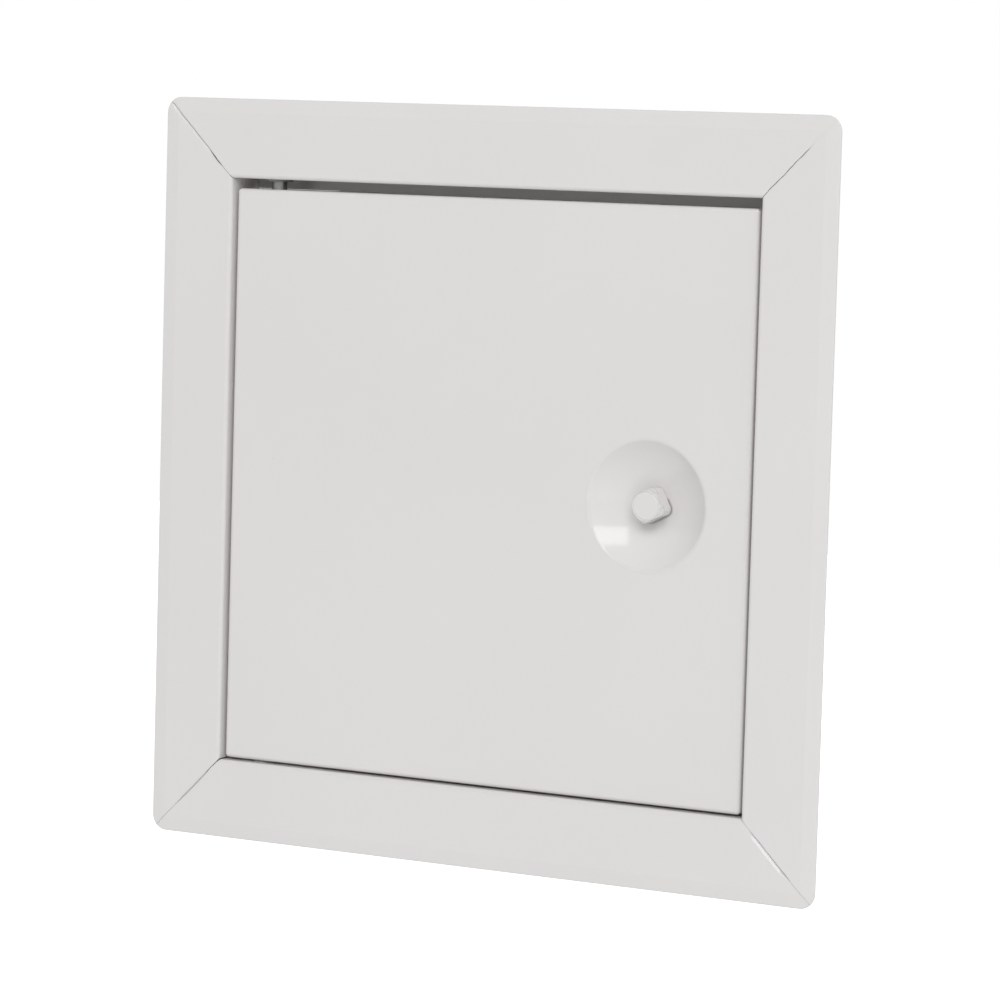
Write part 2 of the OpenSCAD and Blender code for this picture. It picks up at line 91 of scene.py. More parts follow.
class Slot(Enum):
    """Material slots of the record."""

    PAINT = "white_paint"
    ZINC = "zinc"
    NYLON = "nylon"
    DARK = "dark_steel"


class Body(Enum):
    """Moving bodies of the CAD model."""

    FRAME = "frame"
    DOOR = "door"
    LOCK = "lock"


class Side(Enum):
    """The four sides of a square, each as the angle about Y that carries the upper side there, in degrees."""

    TOP = 0.0
    RIGHT = 90.0
    BOTTOM = 180.0
    LEFT = -90.0


# Surfaces


@dataclass
class Surface:
    """A closed skin: points in millimetres, four-cornered faces, and a few faces with other corner counts.

    Each point may have an edge value, for thin or worn paint, and a painted-shade value, for shade coloured
    into the paint, both from 0 to 1.
    """

    points: Array
    quads: Array
    others: list[list[int]] = field(default_factory=list)
    edge: Array | None = None
    painted_shade: Array | None = None


def grid_quads(rows: int, columns: int, close_rows: bool, close_columns: bool) -> Array:
    """Faces of a grid of points: each joins a point to the next column, the next row and the point across.

    Args:
        rows: number of rows of points.
        columns: number of points in a row.
        close_rows: whether the last row joins the first.
        close_columns: whether the last column joins the first.

    Returns:
        Point numbers of each face, four to a line.
    """
    row = np.arange(rows if close_rows else rows - 1)[:, None]
    column = np.arange(columns if close_columns else columns - 1)[None, :]
    next_row = (row + 1) % rows
    next_column = (column + 1) % columns
    corners = [row * columns + column, row * columns + next_column,
               next_row * columns + next_column, next_row * columns + column]
    return np.stack(np.broadcast_arrays(*corners), axis=-1).reshape(-1, 4)


def add_piece(name: str, surface: Surface, crease: float = 35.0) -> bpy.types.Object:
    """Makes an object of a skin, with loose points dropped, faces turned outwards and sharp edges marked.

    Args:
        name: name of the object and of its mesh.
        surface: the skin to build, in millimetres.
        crease: angle between two faces above which their edge stays sharp, in degrees.

    Returns:
        The new object, at the origin, with its place in its mesh.
    """
    corners = np.concatenate([surface.quads.ravel()] + [np.array(face) for face in surface.others])
    used = np.unique(corners)
    number = np.zeros(len(surface.points), dtype=int)
    number[used] = np.arange(len(used))
    faces = number[surface.quads].tolist() + [number[face].tolist() for face in surface.others]
    mesh = bpy.data.meshes.new(name)
    mesh.from_pydata((surface.points[used] * MM).tolist(), [], faces)
    shell = bmesh.new()
    shell.from_mesh(mesh)
    bmesh.ops.recalc_face_normals(shell, faces=shell.faces)
    shell.to_mesh(mesh)
    shell.free()
    mesh.shade_smooth()
    mesh.set_sharp_from_angle(angle=math.radians(crease))
    # each point's thin-paint value, and its painted shade
    for label, values in (("edge", surface.edge), ("painted_shade", surface.painted_shade)):
        kept = np.zeros(len(used)) if values is None else values[used]
        mesh.attributes.new(label, "FLOAT", "POINT").data.foreach_set("value", kept.astype(np.float32))
    piece = bpy.data.objects.new(name, mesh)
    bpy.context.scene.collection.objects.link(piece)
    LOG.info("%s: %d faces", name, len(faces))
    return piece


def smooth_step(value: Array, low: float, high: float) -> Array:
    """Rises from 0 at low to 1 at high along three times the square less twice the cube."""
    part = np.clip((value - low) / (high - low), 0.0, 1.0)
    return part * part * (3.0 - 2.0 * part)


class SheetLine:
    """One side of a bent sheet, drawn in straight runs and bends from a start point.

    The drawn side faces to the right of the heading, and the sheet's other side lies on its left.
    """

    def __init__(self, start: tuple[float, float], heading: float) -> None:
        """Starts a line.

        Args:
            start: first point.
            heading: direction of the first run in degrees, from the first axis towards the second.
        """
        self.place = np.array(start, dtype=float)
        self.angle = math.radians(heading)
        self.points = [self.place[None, :]]
        self.facing = [self._right(np.array([self.angle]))]
        self.bent = [np.zeros(1)]

    @staticmethod
    def _right(angle: Array) -> Array:
        """Unit vectors to the right of the given headings."""
        return np.stack([np.sin(angle), -np.cos(angle)], axis=-1)

    def run(self, marks: Array) -> "SheetLine":
        """Goes straight on, with points at the given distances.

        Args:
            marks: rising distances from the present place.

        Returns:
            The line itself.
        """
        ahead = np.array([math.cos(self.angle), math.sin(self.angle)])
        self.points.append(self.place + np.outer(marks, ahead))
        self.facing.append(np.repeat(self._right(np.array([self.angle])), len(marks), axis=0))
        self.bent.append(np.zeros(len(marks)))
        self.place = self.points[-1][-1]
        return self

    def bend(self, turn: float, radius: float, steps: int) -> "SheetLine":
        """Turns along an arc: its centre plus or less the radius times the facing of each heading.

        Args:
            turn: angle in degrees, positive to the left, which makes the drawn side stand out.
            radius: radius of the drawn side.
            steps: number of points on the arc.

        Returns:
            The line itself.
        """
        side = math.copysign(1.0, turn)
        angles = self.angle + math.radians(turn) * np.arange(1, steps + 1) / steps
        centre = self.place - side * radius * self._right(np.array([self.angle]))[0]
        self.points.append(centre + side * radius * self._right(angles))
        self.facing.append(self._right(angles))
        self.bent.append(np.ones(steps))
        self.place = self.points[-1][-1]
        self.angle = float(angles[-1])
        return self

    def arrays(self) -> tuple[Array, Array, Array]:
        """Points of the line, the way each faces, and 1 where the sheet is bent."""
        return np.concatenate(self.points), np.concatenate(self.facing), np.concatenate(self.bent)


def sheet_edge(front: Array, facing: Array, ahead: Array, sheet: float,
               radius: float) -> Array:
    """Points round the cut edge of a sheet: two quarter turns of the given radius with a flat between them.

    Args:
        front: last point of the drawn side.
        facing: the way that side faces there.
        ahead: the way the sheet runs on there.
        sheet: thickness of the sheet.
        radius: radius of the two corners.

    Returns:
        The points between the drawn side and the back, without either.
    """
    angle = np.radians(CUT_TURNS)[:, None]
    first = front - radius * facing + radius * (np.cos(angle) * facing + np.sin(angle) * ahead)
    rear = front - (sheet - radius) * facing
    second = rear + radius * (np.sin(angle[::-1]) * ahead - np.cos(angle[::-1]) * facing)
    return np.concatenate([first, second])


# Shapes of the frame


def window(value: Array, start: float, stop: float, soft: float) -> Array:
    """1 between two values and 0 outside them, with a smooth step of twice the softness at both."""
    rise = smooth_step(value, start - soft, start + soft)
    return rise * (1.0 - smooth_step(value, stop - soft, stop + soft))


@dataclass(frozen=True)
class Facet:
    """Sloping edge of a rail beside a seam: its width between two distances from the opening, and slope."""

    width: float
    start: float
    stop: float
    slope: float = 0.41
    soft: float = 1.6

    def sunk(self, out: Array, to_seam: Array) -> Array:
        """Depth of the facet: its slope times the distance past its top edge, within its stretch of the seam.

        Args:
            out: distances outwards from the opening.
            to_seam: distances to the seam along the rail.

        Returns:
            Depth below the flat at each point.
        """
        width = self.width * window(out, self.start, self.stop, self.soft)
        return self.slope * np.maximum(width - to_seam, 0.0)


@dataclass(frozen=True)
class Seam:
    """Line between two mitred rails: fine, and wide where it is open between two distances from the opening.

    The line wanders in waves from its phase. The rail that ends there and the one that starts have a facet
    each. Past the distance named filled, paint makes the line's edges level.
    """

    wide: float
    fine: float
    opens: float
    closes: float
    phase: float
    wander: float
    ending: Facet
    starting: Facet
    filled: float = 99.0
    soft: float = 1.0
    # widths at which paint bridges the seam, and past which its walls carry full painted shade
    bridged: float = 0.05
    full_shade_width: float = 0.14

    def shift(self, out: Array) -> Array:
        """Sideways wandering of the line: two slow waves of the distance from the opening."""
        return self.wander * (np.sin(0.8 * out + self.phase) + 0.7 * np.sin(2.1 * out - self.phase))

    def width(self, out: Array) -> Array:
        """Width of the line: a soft window between its two ends, roughened by two waves.

        Args:
            out: distances outwards from the opening.

        Returns:
            Widths of the seam there.
        """
        rough = 1.0 + 0.2 * np.sin(1.3 * out + self.phase) + 0.15 * np.sin(3.1 * out + 2.0 * self.phase)
        return self.fine + (self.wide - self.fine) * window(out, self.opens, self.closes, self.soft) * rough

    def bare_metal_and_seam_shade(self, out: Array) -> Array:
        """Painted shade on the seam's walls: 1 where the seam is open wide enough for its walls to be
        coloured dark as shade, and 0 where paint bridges it.
        """
        return smooth_step(self.width(out), self.bridged, self.full_shade_width)


class Corner(Enum):
    """The seams at the frame's corners. Going round clockwise, one rail ends and the next starts there."""

    TOP_LEFT = Seam(wide=0.44, fine=0.1, opens=4.8, closes=8.4, phase=0.4, wander=0.04,
                    ending=Facet(0.9, 8.5, 25.0, 0.58), starting=Facet(0.8, 8.5, 25.0, 0.58))
    TOP_RIGHT = Seam(wide=0.14, fine=0.0, opens=1.0, closes=16.2, phase=1.9, wander=0.12,
                     ending=Facet(0.25, 1.0, 15.0), starting=Facet(0.25, 1.0, 15.0), filled=17.0)
    BOTTOM_LEFT = Seam(wide=0.3, fine=0.05, opens=-2.0, closes=4.6, phase=3.1, wander=0.05,
                       ending=Facet(0.7, 4.5, 16.0, 0.75), starting=Facet(0.5, 4.5, 16.0, 0.75))
    BOTTOM_RIGHT = Seam(wide=0.16, fine=0.05, opens=3.5, closes=18.0, phase=4.6, wander=0.03,
                        ending=Facet(0.2, 4.0, 17.0), starting=Facet(1.7, 3.8, 17.2, 0.5))


@dataclass(frozen=True)
class Punch:
    """Round hole in a collar: place along the rail, depth behind the face, and radius."""

    along: float
    depth: float
    radius: float


def with_holes(even: Array, holes: list[tuple[float, float]]) -> Array:
    """Marks along one direction of a sheet: even ones, and a block of close ones across each hole.

    Args:
        even: the even marks.
        holes: middle and radius of each hole.

    Returns:
        All marks in rising order, without the even ones in a hole or close to it.
    """
    blocks = []
    for middle, radius in holes:
        even = even[np.abs(even - middle) > HOLE_ROOM * radius]
        blocks.append(middle + radius * np.linspace(-1.0, 1.0, HOLE_STEPS + 1))
    return np.unique(np.concatenate([even] + blocks).round(6))


@dataclass
class FrameRail:
    """One mitred rail: a bent-back edge, a face, a collar and a stop lip, along one side of the opening."""

    side: Side
    left_corner: Corner
    right_corner: Corner
    left_lip: float
    right_lip: float
    lip_step: float
    left_end: float
    right_end: float
    punches: list[Punch]
    square_left: bool = False
    face_width: float = 26.6
    sheet: float = 1.0
    edge_width: float = 5.0
    edge_drop: float = 0.5
    edge_soft: float = 8.0
    corner_radius: float = 5.4
    bend_radius: float = 1.3
    lip_bend: float = 0.3
    collar_depth: float = 18.0
    cut_round: float = 0.2
    rim_round: float = 0.35
    seam_round: float = 0.16
    seam_room: float = 2.0
    seam_wall: float = 0.02
    fill_soft: float = 1.5
    worn_width: float = 0.8

    def section(self) -> tuple[Array, Array, Array, int]:
        """Closed outline of the bent sheet, as depth behind the face and distance out from the opening.

        Returns:
            Points, the way each front point faces, 1 where the sheet is bent or cut, and the count of front
            points.
        """
        has_lip = max(self.left_lip, self.right_lip) > 0.0
        collar = self.collar_depth - self.bend_radius
        collar -= self.sheet + self.lip_bend if has_lip else self.cut_round
        holes = [(punch.depth - self.bend_radius, punch.radius) for punch in self.punches]
        slope = math.atan2(self.edge_drop, self.edge_width)
        soft = self.edge_soft * math.tan(slope / 2.0)
        strip = (self.edge_width - self.rim_round) / math.cos(slope) - soft
        flat = self.face_width - self.edge_width - soft - self.bend_radius
        rim = (self.edge_drop - self.rim_round * math.tan(slope), self.face_width - self.rim_round)
        line = SheetLine(rim, 270.0 - math.degrees(slope))
        line.run(strip * np.array([0.06, 0.2, 0.35, 0.5, 0.65, 0.8, 0.94, 1.0]))
        line.bend(math.degrees(slope), self.edge_soft, 6)
        line.run(np.concatenate([[0.2], np.linspace(0.8, flat - 0.8, 22), [flat - 0.2, flat]]))
        line.bend(90.0, self.bend_radius, 8)
        line.run(with_holes(np.linspace(0.3, collar, 14), holes))
        if has_lip:
            line.bend(-90.0, self.lip_bend, 4)
            line.run(np.linspace(0.0, LIP - self.lip_bend - self.cut_round, 7)[1:])
        front, facing, bent = line.arrays()
        bent[front[:, 1] > self.face_width / 2.0] = 0.0
        ahead = np.array([math.cos(line.angle), math.sin(line.angle)])
        end_cut = sheet_edge(front[-1], facing[-1], ahead, self.sheet, self.cut_round)
        behind = np.array([math.sin(slope), math.cos(slope)])
        start_cut = sheet_edge(front[0], facing[0], behind, self.sheet, self.rim_round)[::-1]
        back = (front - self.sheet * facing)[::-1]
        cut = np.ones(CUT_POINTS)
        outline = np.concatenate([front, end_cut, back, start_cut])
        turned_out = np.zeros_like(outline)
        turned_out[:len(front)] = facing
        return outline, turned_out, np.concatenate([bent, cut, bent[::-1], cut]), len(front)

    def lip_scaled(self, out: Array, lip: Array) -> Array:
        """Shortens the lip: distances past its bend are scaled so that a full lip ends at the given height.

        Args:
            out: distances outwards of the section's points, as a column.
            lip: lip heights, as a row.

        Returns:
            Distances outwards for each point and each height.
        """
        scale = (lip - self.lip_bend) / (LIP - self.lip_bend)
        return np.where(out < -self.lip_bend, -self.lip_bend + (out + self.lip_bend) * scale, out)

    def half_length(self, out: Array, seam: Seam, side: float, square: bool) -> Array:
        """Length from the middle of the rail to its seam: the straight, then an eighth of the round corner.

        Args:
            out: distances outwards from the opening.
            seam: the seam at this end.
            side: 1 where the rail ends at the seam and -1 where it starts, as the line's wandering counts.
            square: whether the lip ends square at the next collar instead of in a mitre.

        Returns:
            The length at each distance.
        """
        inner = self.face_width - self.corner_radius
        turned = np.maximum(out - inner, 0.0) * math.pi / 4.0
        straight = np.clip(out, 0.0 if square else -self.face_width, inner)
        return OPENING / 2.0 + straight + turned - seam.width(out) / math.sqrt(2.0) + side * seam.shift(out)

    def end_part(self, out: Array, lip: float, seam: Seam, side: float, start: float,
                 square: bool) -> tuple[Array, Array, Array]:
        """One end of the rail: columns from a place on the straight to the seam, closer together near it.

        Args:
            out: distances outwards of the section's points, as a column.
            lip: height of the lip at this end.
            seam: the seam there.
            side: 1 where the rail ends at the seam and -1 where it starts.
            start: distance from the middle of the rail at which this end begins.
            square: whether the lip ends square at the next collar instead of in a mitre.

        Returns:
            Distances outwards, lengths from the middle to the seam, and distances of points from the middle.
        """
        reach = 1.0 - (1.0 - np.linspace(0.0, 1.0, 20)[None, 1:]) ** 2.2
        close = np.array([[1.6, 1.2, 0.9, 0.7, 0.52, 0.36, 0.24, 0.15, 0.08, 0.03, 0.0]])
        outs = self.lip_scaled(out, np.array([[lip]]))
        half = self.half_length(outs, seam, side, square)
        place = np.concatenate([start + reach * (half - self.seam_room - start), half - close], axis=1)
        return outs, half, place

    def turned_corner(self, place: Array, outs: Array) -> tuple[Array, Array]:
        """Path of each point: straight, and past the centre of a round corner on a circle about that centre.

        Args:
            place: length along the path from the middle of the rail.
            outs: distances outwards from the opening.

        Returns:
            Place along the rail and distance from the opening's centre.
        """
        inner = self.face_width - self.corner_radius
        straight = OPENING / 2.0 + inner
        swing = np.maximum(outs - inner, 0.0)
        turns = swing > 1e-5
        turn = np.maximum(np.abs(place) - straight, 0.0) / np.maximum(swing, 1e-6) * turns
        along = np.where(turns, np.sign(place) * np.minimum(np.abs(place), straight), place)
        along = along + np.sign(place) * swing * np.sin(turn)
        return along, OPENING / 2.0 + np.minimum(outs, inner) + swing * np.cos(turn)

    def surface(self) -> Surface:
        """Carries the section along the rail.

        Each section point keeps its distance from the opening. In the middle its place along the rail is the
        same for all points; towards an end it is stretched so that the last column lies on the seam. Near the
        seam the face sinks by a small round and by the rail's facet.

        Returns:
            The closed skin of the rail in its place.
        """
        outline, facing, marked, fronts = self.section()
        depth, out = outline[:, :1], outline[:, 1:]
        middle = with_holes(np.linspace(self.left_end, self.right_end, 34),
                            [(punch.along, punch.radius) for punch in self.punches])
        if self.left_lip != self.right_lip:
            middle = middle[np.abs(middle - self.lip_step) > 0.5]
            middle = np.sort(np.append(middle, [self.lip_step - 0.02, self.lip_step + 0.02]))
        left, right = self.left_corner.value, self.right_corner.value
        left_out, left_half, left_part = self.end_part(out, self.left_lip, left, -1.0, -self.left_end,
                                                       self.square_left)
        right_out, right_half, right_part = self.end_part(out, self.right_lip, right, 1.0, self.right_end,
                                                          False)
        tail = left_part.shape[1]
        place = np.concatenate([-left_part[:, ::-1], np.tile(middle, (len(out), 1)), right_part], axis=1)
        lips = np.where(middle < self.lip_step, self.left_lip, self.right_lip)[None, :]
        outs = np.concatenate([np.repeat(left_out, tail, axis=1), self.lip_scaled(out, lips),
                               np.repeat(right_out, tail, axis=1)], axis=1)
        to_seam = np.full(place.shape, np.inf)
        to_seam[:, :tail] = left_half + place[:, :tail]
        to_seam[:, -tail:] = right_half - place[:, -tail:]

        near = np.clip(self.seam_round - to_seam, 0.0, None)
        sunk = self.seam_round - np.sqrt(np.maximum(self.seam_round ** 2 - near ** 2, 0.0))
        # painted shade: the walls of the open seams are coloured dark, where they lie in shade
        painted_shade = np.where(to_seam < self.seam_wall, 1.0, 0.0)
        ends = ((np.s_[:, :tail], left, left.starting), (np.s_[:, -tail:], right, right.ending))
        for part, seam, facet in ends:
            level = smooth_step(outs[part], seam.filled - self.fill_soft, seam.filled + self.fill_soft)
            sunk[part] = sunk[part] * (1.0 - level) + facet.sunk(outs[part], to_seam[part])
            painted_shade[part] *= seam.bare_metal_and_seam_shade(outs[part])
        depths = depth - facing[:, :1] * sunk
        along, across = self.turned_corner(place, outs - facing[:, 1:] * sunk)

        rows, columns = place.shape
        quads = grid_quads(rows, columns, True, False)
        back_of = fronts + CUT_POINTS + (fronts - 1 - np.arange(fronts))
        gone = np.zeros(len(quads), dtype=bool)
        caps, walls, others = [], [], []
        for punch in self.punches:
            wall, lost = self.punched(punch, along, depths, back_of, fronts)
            walls.append(wall)
            gone |= lost
        for column in (0, columns - 1):
            caps.append(self.seam_face(column, columns, fronts, back_of))
            last = np.arange(fronts - 1, fronts + CUT_POINTS + 1) * columns + column
            first = np.arange(rows - CUT_POINTS - 1, rows + 1) % rows * columns + column
            others += [last.tolist(), first.tolist()]
        angle = math.radians(self.side.value)
        points = np.stack([along * math.cos(angle) + across * math.sin(angle), FACE_Y + depths,
                           across * math.cos(angle) - along * math.sin(angle)], axis=-1).reshape(-1, 3)
        edge = np.maximum(marked[:, None], 1.0 - np.clip(to_seam / self.worn_width, 0.0, 1.0)).ravel()
        return Surface(points, np.concatenate([quads[~gone]] + caps + walls), others, edge, painted_shade.ravel())

    @staticmethod
    def seam_face(column: int, columns: int, fronts: int, back_of: Array) -> Array:
        """Faces across the sheet at one end, each from two front points to the two behind them."""
        row = np.arange(fronts - 1)
        corners = [row, row + 1, back_of[row + 1], back_of[row]]
        return np.stack(corners, axis=-1) * columns + column

    @staticmethod
    def punched(punch: Punch, along: Array, depths: Array, back_of: Array,
                fronts: int) -> tuple[Array, Array]:
        """Opens a round hole: the points round a square block move out to the circle, and its faces go.

        Args:
            punch: the hole.
            along: place of every point along the rail, changed round the hole.
            depths: depth of every point, changed round the hole.
            back_of: row of the back point behind each front row.
            fronts: number of front rows.

        Returns:
            Faces of the hole's wall, and a mask of the grid's faces that go.
        """
        rows, columns = along.shape
        middle = columns // 2
        collar = np.arange(fronts)[np.abs(np.gradient(depths[:fronts, middle])) > 1e-4]
        collar = collar[collar > fronts // 2]
        row0 = collar[np.argmin(np.abs(depths[collar, middle] - punch.depth + punch.radius))]
        column0 = int(np.argmin(np.abs(along[row0] - punch.along + punch.radius)))
        step = np.arange(HOLE_STEPS)
        none = np.zeros_like(step)
        ring_row = row0 + np.concatenate([none, step, HOLE_STEPS + none, HOLE_STEPS - step])
        ring_column = column0 + np.concatenate([step, HOLE_STEPS + none, HOLE_STEPS - step, none])
        rise = depths[ring_row, ring_column] - punch.depth
        angle = np.arctan2(rise, along[ring_row, ring_column] - punch.along)
        for ring in (ring_row, back_of[ring_row]):
            along[ring, ring_column] = punch.along + punch.radius * np.cos(angle)
            depths[ring, ring_column] = punch.depth + punch.radius * np.sin(angle)
        face_row, face_column = np.divmod(np.arange(rows * (columns - 1)), columns - 1)
        in_columns = (face_column >= column0) & (face_column < column0 + HOLE_STEPS)
        on_front = (face_row >= row0) & (face_row < row0 + HOLE_STEPS)
        on_back = (face_row >= back_of[row0 + HOLE_STEPS]) & (face_row < back_of[row0])
        front = ring_row * columns + ring_column
        back = back_of[ring_row] * columns + ring_column
        wall = np.stack([front, np.roll(front, -1), np.roll(back, -1), back], axis=-1)
        return wall, in_columns & (on_front | on_back)


# Shapes of the door


def with_depth(flat: Array, depth: Array | float) -> Array:
    """Adds a depth, one for all or one for each ring, to rings of points in a plane."""
    return np.concatenate([flat, np.broadcast_to(depth, flat.shape[:2] + (1,))], axis=2)


@dataclass
class DoorPanel:
    """Folded door sheet with a pressed dish: rings round the dish that widen into the folded square edge."""

    half_x: float = 95.75
    half_z: float = 95.025
    middle: tuple[float, float] = (-0.25, -1.325)
    corner_share: float = 0.021
    sheet: float = 1.0
    bend_radius: float = 1.3
    fold_depth: float = 14.9
    cut_round: float = 0.2
    dish_radius: float = 21.2
    dish_depth: float = 6.5
    floor_radius: float = 8.0
    floor_blend: float = 16.0
    rim_round: float = 2.0
    rim_steps: int = 7
    rim_worn: float = 0.6
    hole_radius: float = 4.2
    seam_depth: float = 0.55
    # painted shade at the foot of the key: the way its shadow falls, its dark line and its haze
    shade_way: tuple[float, float] = (0.6, -0.8)
    shade_line: float = 0.62
    shade_haze: float = 0.14

    def outline(self, spread: Array) -> Array:
        """Square paths round the door at given distances outside the flat, with round corners of that radius.

        On each side the path runs straight, then an eighth of a circle to the middle of the corner. Places
        are shares of that length, so that no two points fall together on the sharp inner path.

        Args:
            spread: distance outside the flat for each path.

        Returns:
            X and Z of each point of each path.
        """
        inner = 1.0 - self.corner_share
        ends = 1.0 - self.corner_share * np.linspace(0.0, 1.0, 7)[:-1]
        share = np.concatenate([-ends, np.linspace(-inner, inner, 118), ends[::-1]])[:-1]
        turns = np.radians([side.value for side in Side])[:, None]
        length = np.array([self.half_x, self.half_z] * 2)[:, None]
        away = np.array([self.half_z, self.half_x] * 2)[:, None]
        spread = spread[:, None, None]
        place = share * (length + spread * math.pi / 4.0)
        turn = np.maximum(np.abs(place) - length, 0.0) / np.maximum(spread, 1e-6)
        along = np.clip(place, -length, length) + np.sign(place) * spread * np.sin(turn)
        across = away + spread * np.cos(turn)
        x = along * np.cos(turns) + across * np.sin(turns)
        z = across * np.cos(turns) - along * np.sin(turns)
        return np.stack([x + self.middle[0], z + self.middle[1]], axis=-1).reshape(len(spread), -1, 2)

    def dish_side(self) -> tuple[Array, Array, Array]:
        """Front of the dish from rim to hole: a round rim, a part of a ball, a blend and a flat floor.

        Returns:
            Depth and radius of each point, the way each faces, and how thin its paint is.
        """
        depth, blend = self.dish_depth, self.floor_blend
        back_off = (self.dish_radius ** 2 - self.floor_radius ** 2 - depth ** 2) / (2.0 * depth)
        ball = math.hypot(self.dish_radius, back_off)
        rim = math.sqrt((ball + self.rim_round) ** 2 - (back_off + self.rim_round) ** 2)
        rim_turn = math.degrees(math.acos((back_off + self.rim_round) / (ball + self.rim_round)))
        low_turn = math.degrees(math.acos((back_off + depth - blend) / (ball - blend)))
        line = SheetLine((0.0, rim), 270.0)
        line.bend(rim_turn, self.rim_round, self.rim_steps)
        line.bend(low_turn - rim_turn, ball, 24)
        line.bend(-low_turn, blend, 20)
        floor = line.place[1] - self.hole_radius - self.cut_round
        line.run(floor * np.linspace(0.1, 1.0, 7))
        points, facing, _ = line.arrays()
        return points, facing, np.where(np.arange(len(points)) <= self.rim_steps, self.rim_worn, 0.0)

    def surface(self) -> Surface:
        """Rings from the rear of the fold, over the bend, across the flat, down the dish and back behind.

        The outer rings follow the square outline. Across the flat each point runs straight from that outline
        to the dish's rim, at its own angle about the lock. The inner rings are circles. The back is the front
        moved through the sheet against the way it faces.

        Returns:
            The closed skin of the door.
        """
        fold_marks = np.array([0.1, 0.5, 0.9, 0.97, 1.0])
        fold_line = SheetLine((self.fold_depth - self.cut_round, self.bend_radius), 180.0)
        fold_line.run((self.fold_depth - self.cut_round - self.bend_radius) * fold_marks)
        fold_line.bend(90.0, self.bend_radius, 10)
        fold, fold_facing, fold_bent = fold_line.arrays()
        dish, dish_facing, dish_thin = self.dish_side()

        between = np.linspace(0.0, 1.0, 13)
        flat_share = np.concatenate([[0.0], between, [1.0]])
        flat_step = np.concatenate([[0.25], 0.8 - 1.6 * between, [-0.25]])
        hole_cut = sheet_edge(dish[-1], dish_facing[-1], np.array([0.0, -1.0]), self.sheet, self.cut_round)
        rear_cut = sheet_edge(fold[0], fold_facing[0], np.array([1.0, 0.0]), self.sheet, self.cut_round)[::-1]

        centre = np.array([LOCK_X, LOCK_Z])
        flat_edge = self.outline(np.zeros(1))[0]
        angle = np.arctan2(flat_edge[:, 1] - centre[1], flat_edge[:, 0] - centre[0])
        spoke = np.stack([np.cos(angle), np.sin(angle)], axis=-1)
        reach = centre + dish[0, 1] * spoke - flat_edge
        unit = reach / np.linalg.norm(reach, axis=1, keepdims=True)
        flat = flat_edge + flat_share[:, None, None] * reach + flat_step[:, None, None] * unit

        def edge_rows(points: Array) -> Array:
            """Rings on the square outline at each point's distance and depth."""
            return with_depth(self.outline(points[:, 1]), points[:, :1, None])

        def dish_rows(points: Array) -> Array:
            """Circles about the lock at each point's radius and depth."""
            return with_depth(centre + points[:, 1, None, None] * spoke, points[:, :1, None])

        fold_rows = edge_rows(fold)
        corners = np.arange(4) * (fold_rows.shape[1] // 4)
        inward = flat_edge[corners] - fold_rows[0, corners, :2]
        inward /= np.linalg.norm(inward, axis=1, keepdims=True)
        fold_rows[:len(fold_marks) + 1, corners, :2] += self.seam_depth * inward
        grid = np.concatenate([
            fold_rows, with_depth(flat, 0.0), dish_rows(dish), dish_rows(hole_cut),
            dish_rows((dish - self.sheet * dish_facing)[::-1]), with_depth(flat, self.sheet)[::-1],
            edge_rows((fold - self.sheet * fold_facing)[::-1]), edge_rows(rear_cut)])
        rows, columns = grid.shape[:2]
        thin = np.concatenate([fold_bent, np.zeros(len(flat_share)), dish_thin, np.ones(CUT_POINTS)])
        thin = np.concatenate([thin, np.zeros(rows - len(thin))])
        points = np.stack([grid[..., 0], DOOR_Y + grid[..., 2], grid[..., 1]], axis=-1).reshape(-1, 3)
        quads = grid_quads(rows, columns, True, True)
        return Surface(points, quads, [], np.repeat(thin, columns), self.key_shade(points))

    def key_shade(self, points: Array) -> Array:
        """Painted shade at the foot of the key: a dark line round the lower sides of its square, where its
        shadow falls, and a haze of shade about it.

        Args:
            points: points of the door.

        Returns:
            Painted shade at each point, from 0 to 1.
        """
        across, up = points[:, 0] - LOCK_X, points[:, 2] - LOCK_Z
        radius = np.hypot(across, up)
        past = radius - LockSpindle().square_radius(np.arctan2(-across, -up) + LOCK_REST)
        towards = (self.shade_way[0] * across + self.shade_way[1] * up) / np.maximum(radius, 1.0)
        line = self.shade_line * smooth_step(towards, -0.1, 0.35) * (1.0 - smooth_step(past, 0.15, 1.0))
        return np.maximum(line, self.shade_haze * (1.0 - smooth_step(radius, 5.5, 12.0)))


# Turned and square shapes of the lock and the hinge


class Spin(Enum):
    """Axes that turned pieces are made about."""

    LOCK = "lock"
    HINGE = "hinge"

    def points(self, radii: Array, angles: Array, depths: Array) -> Array:
        """Rings about the axis: across it by the radius times the sine and cosine, along it by the depth.

        Args:
            radii: radius of each point, a row for each ring.
            angles: angle of each column.
            depths: place of each ring, or of each point, along the axis.

        Returns:
            Points of all rings, one to a line.
        """
        depths = np.broadcast_to(depths if depths.ndim == 2 else depths[:, None], radii.shape)
        if self is Spin.LOCK:
            turned = angles - LOCK_REST
            parts = [LOCK_X - radii * np.sin(turned), depths, LOCK_Z - radii * np.cos(turned)]
        else:
            parts = [HINGE_X + radii * np.cos(angles), HINGE_Y + radii * np.sin(angles), depths]
        return np.stack(parts, axis=-1).reshape(-1, 3)


def turned_skin(spin: Spin, radii: Array, depths: Array, capped: bool,
                angles: Array | None = None) -> Surface:
    """Rings of points about an axis, closed by flat faces at both ends, or joined last to first for a sleeve.

    Args:
        spin: the axis.
        radii: radius of each point, a row for each ring.
        depths: place of each ring along the axis.
        capped: whether the ends are closed, instead of the last ring joining the first.
        angles: angle of each column, or even steps.

    Returns:
        The closed skin.
    """
    rows, columns = radii.shape
    if angles is None:
        angles = np.arange(columns) * 2.0 * math.pi / columns
    points = spin.points(radii, angles, depths)
    others = []
    if capped:
        others = [list(range(columns)), list(range((rows - 1) * columns, rows * columns))[::-1]]
    return Surface(points, grid_quads(rows, columns, not capped, True), others)


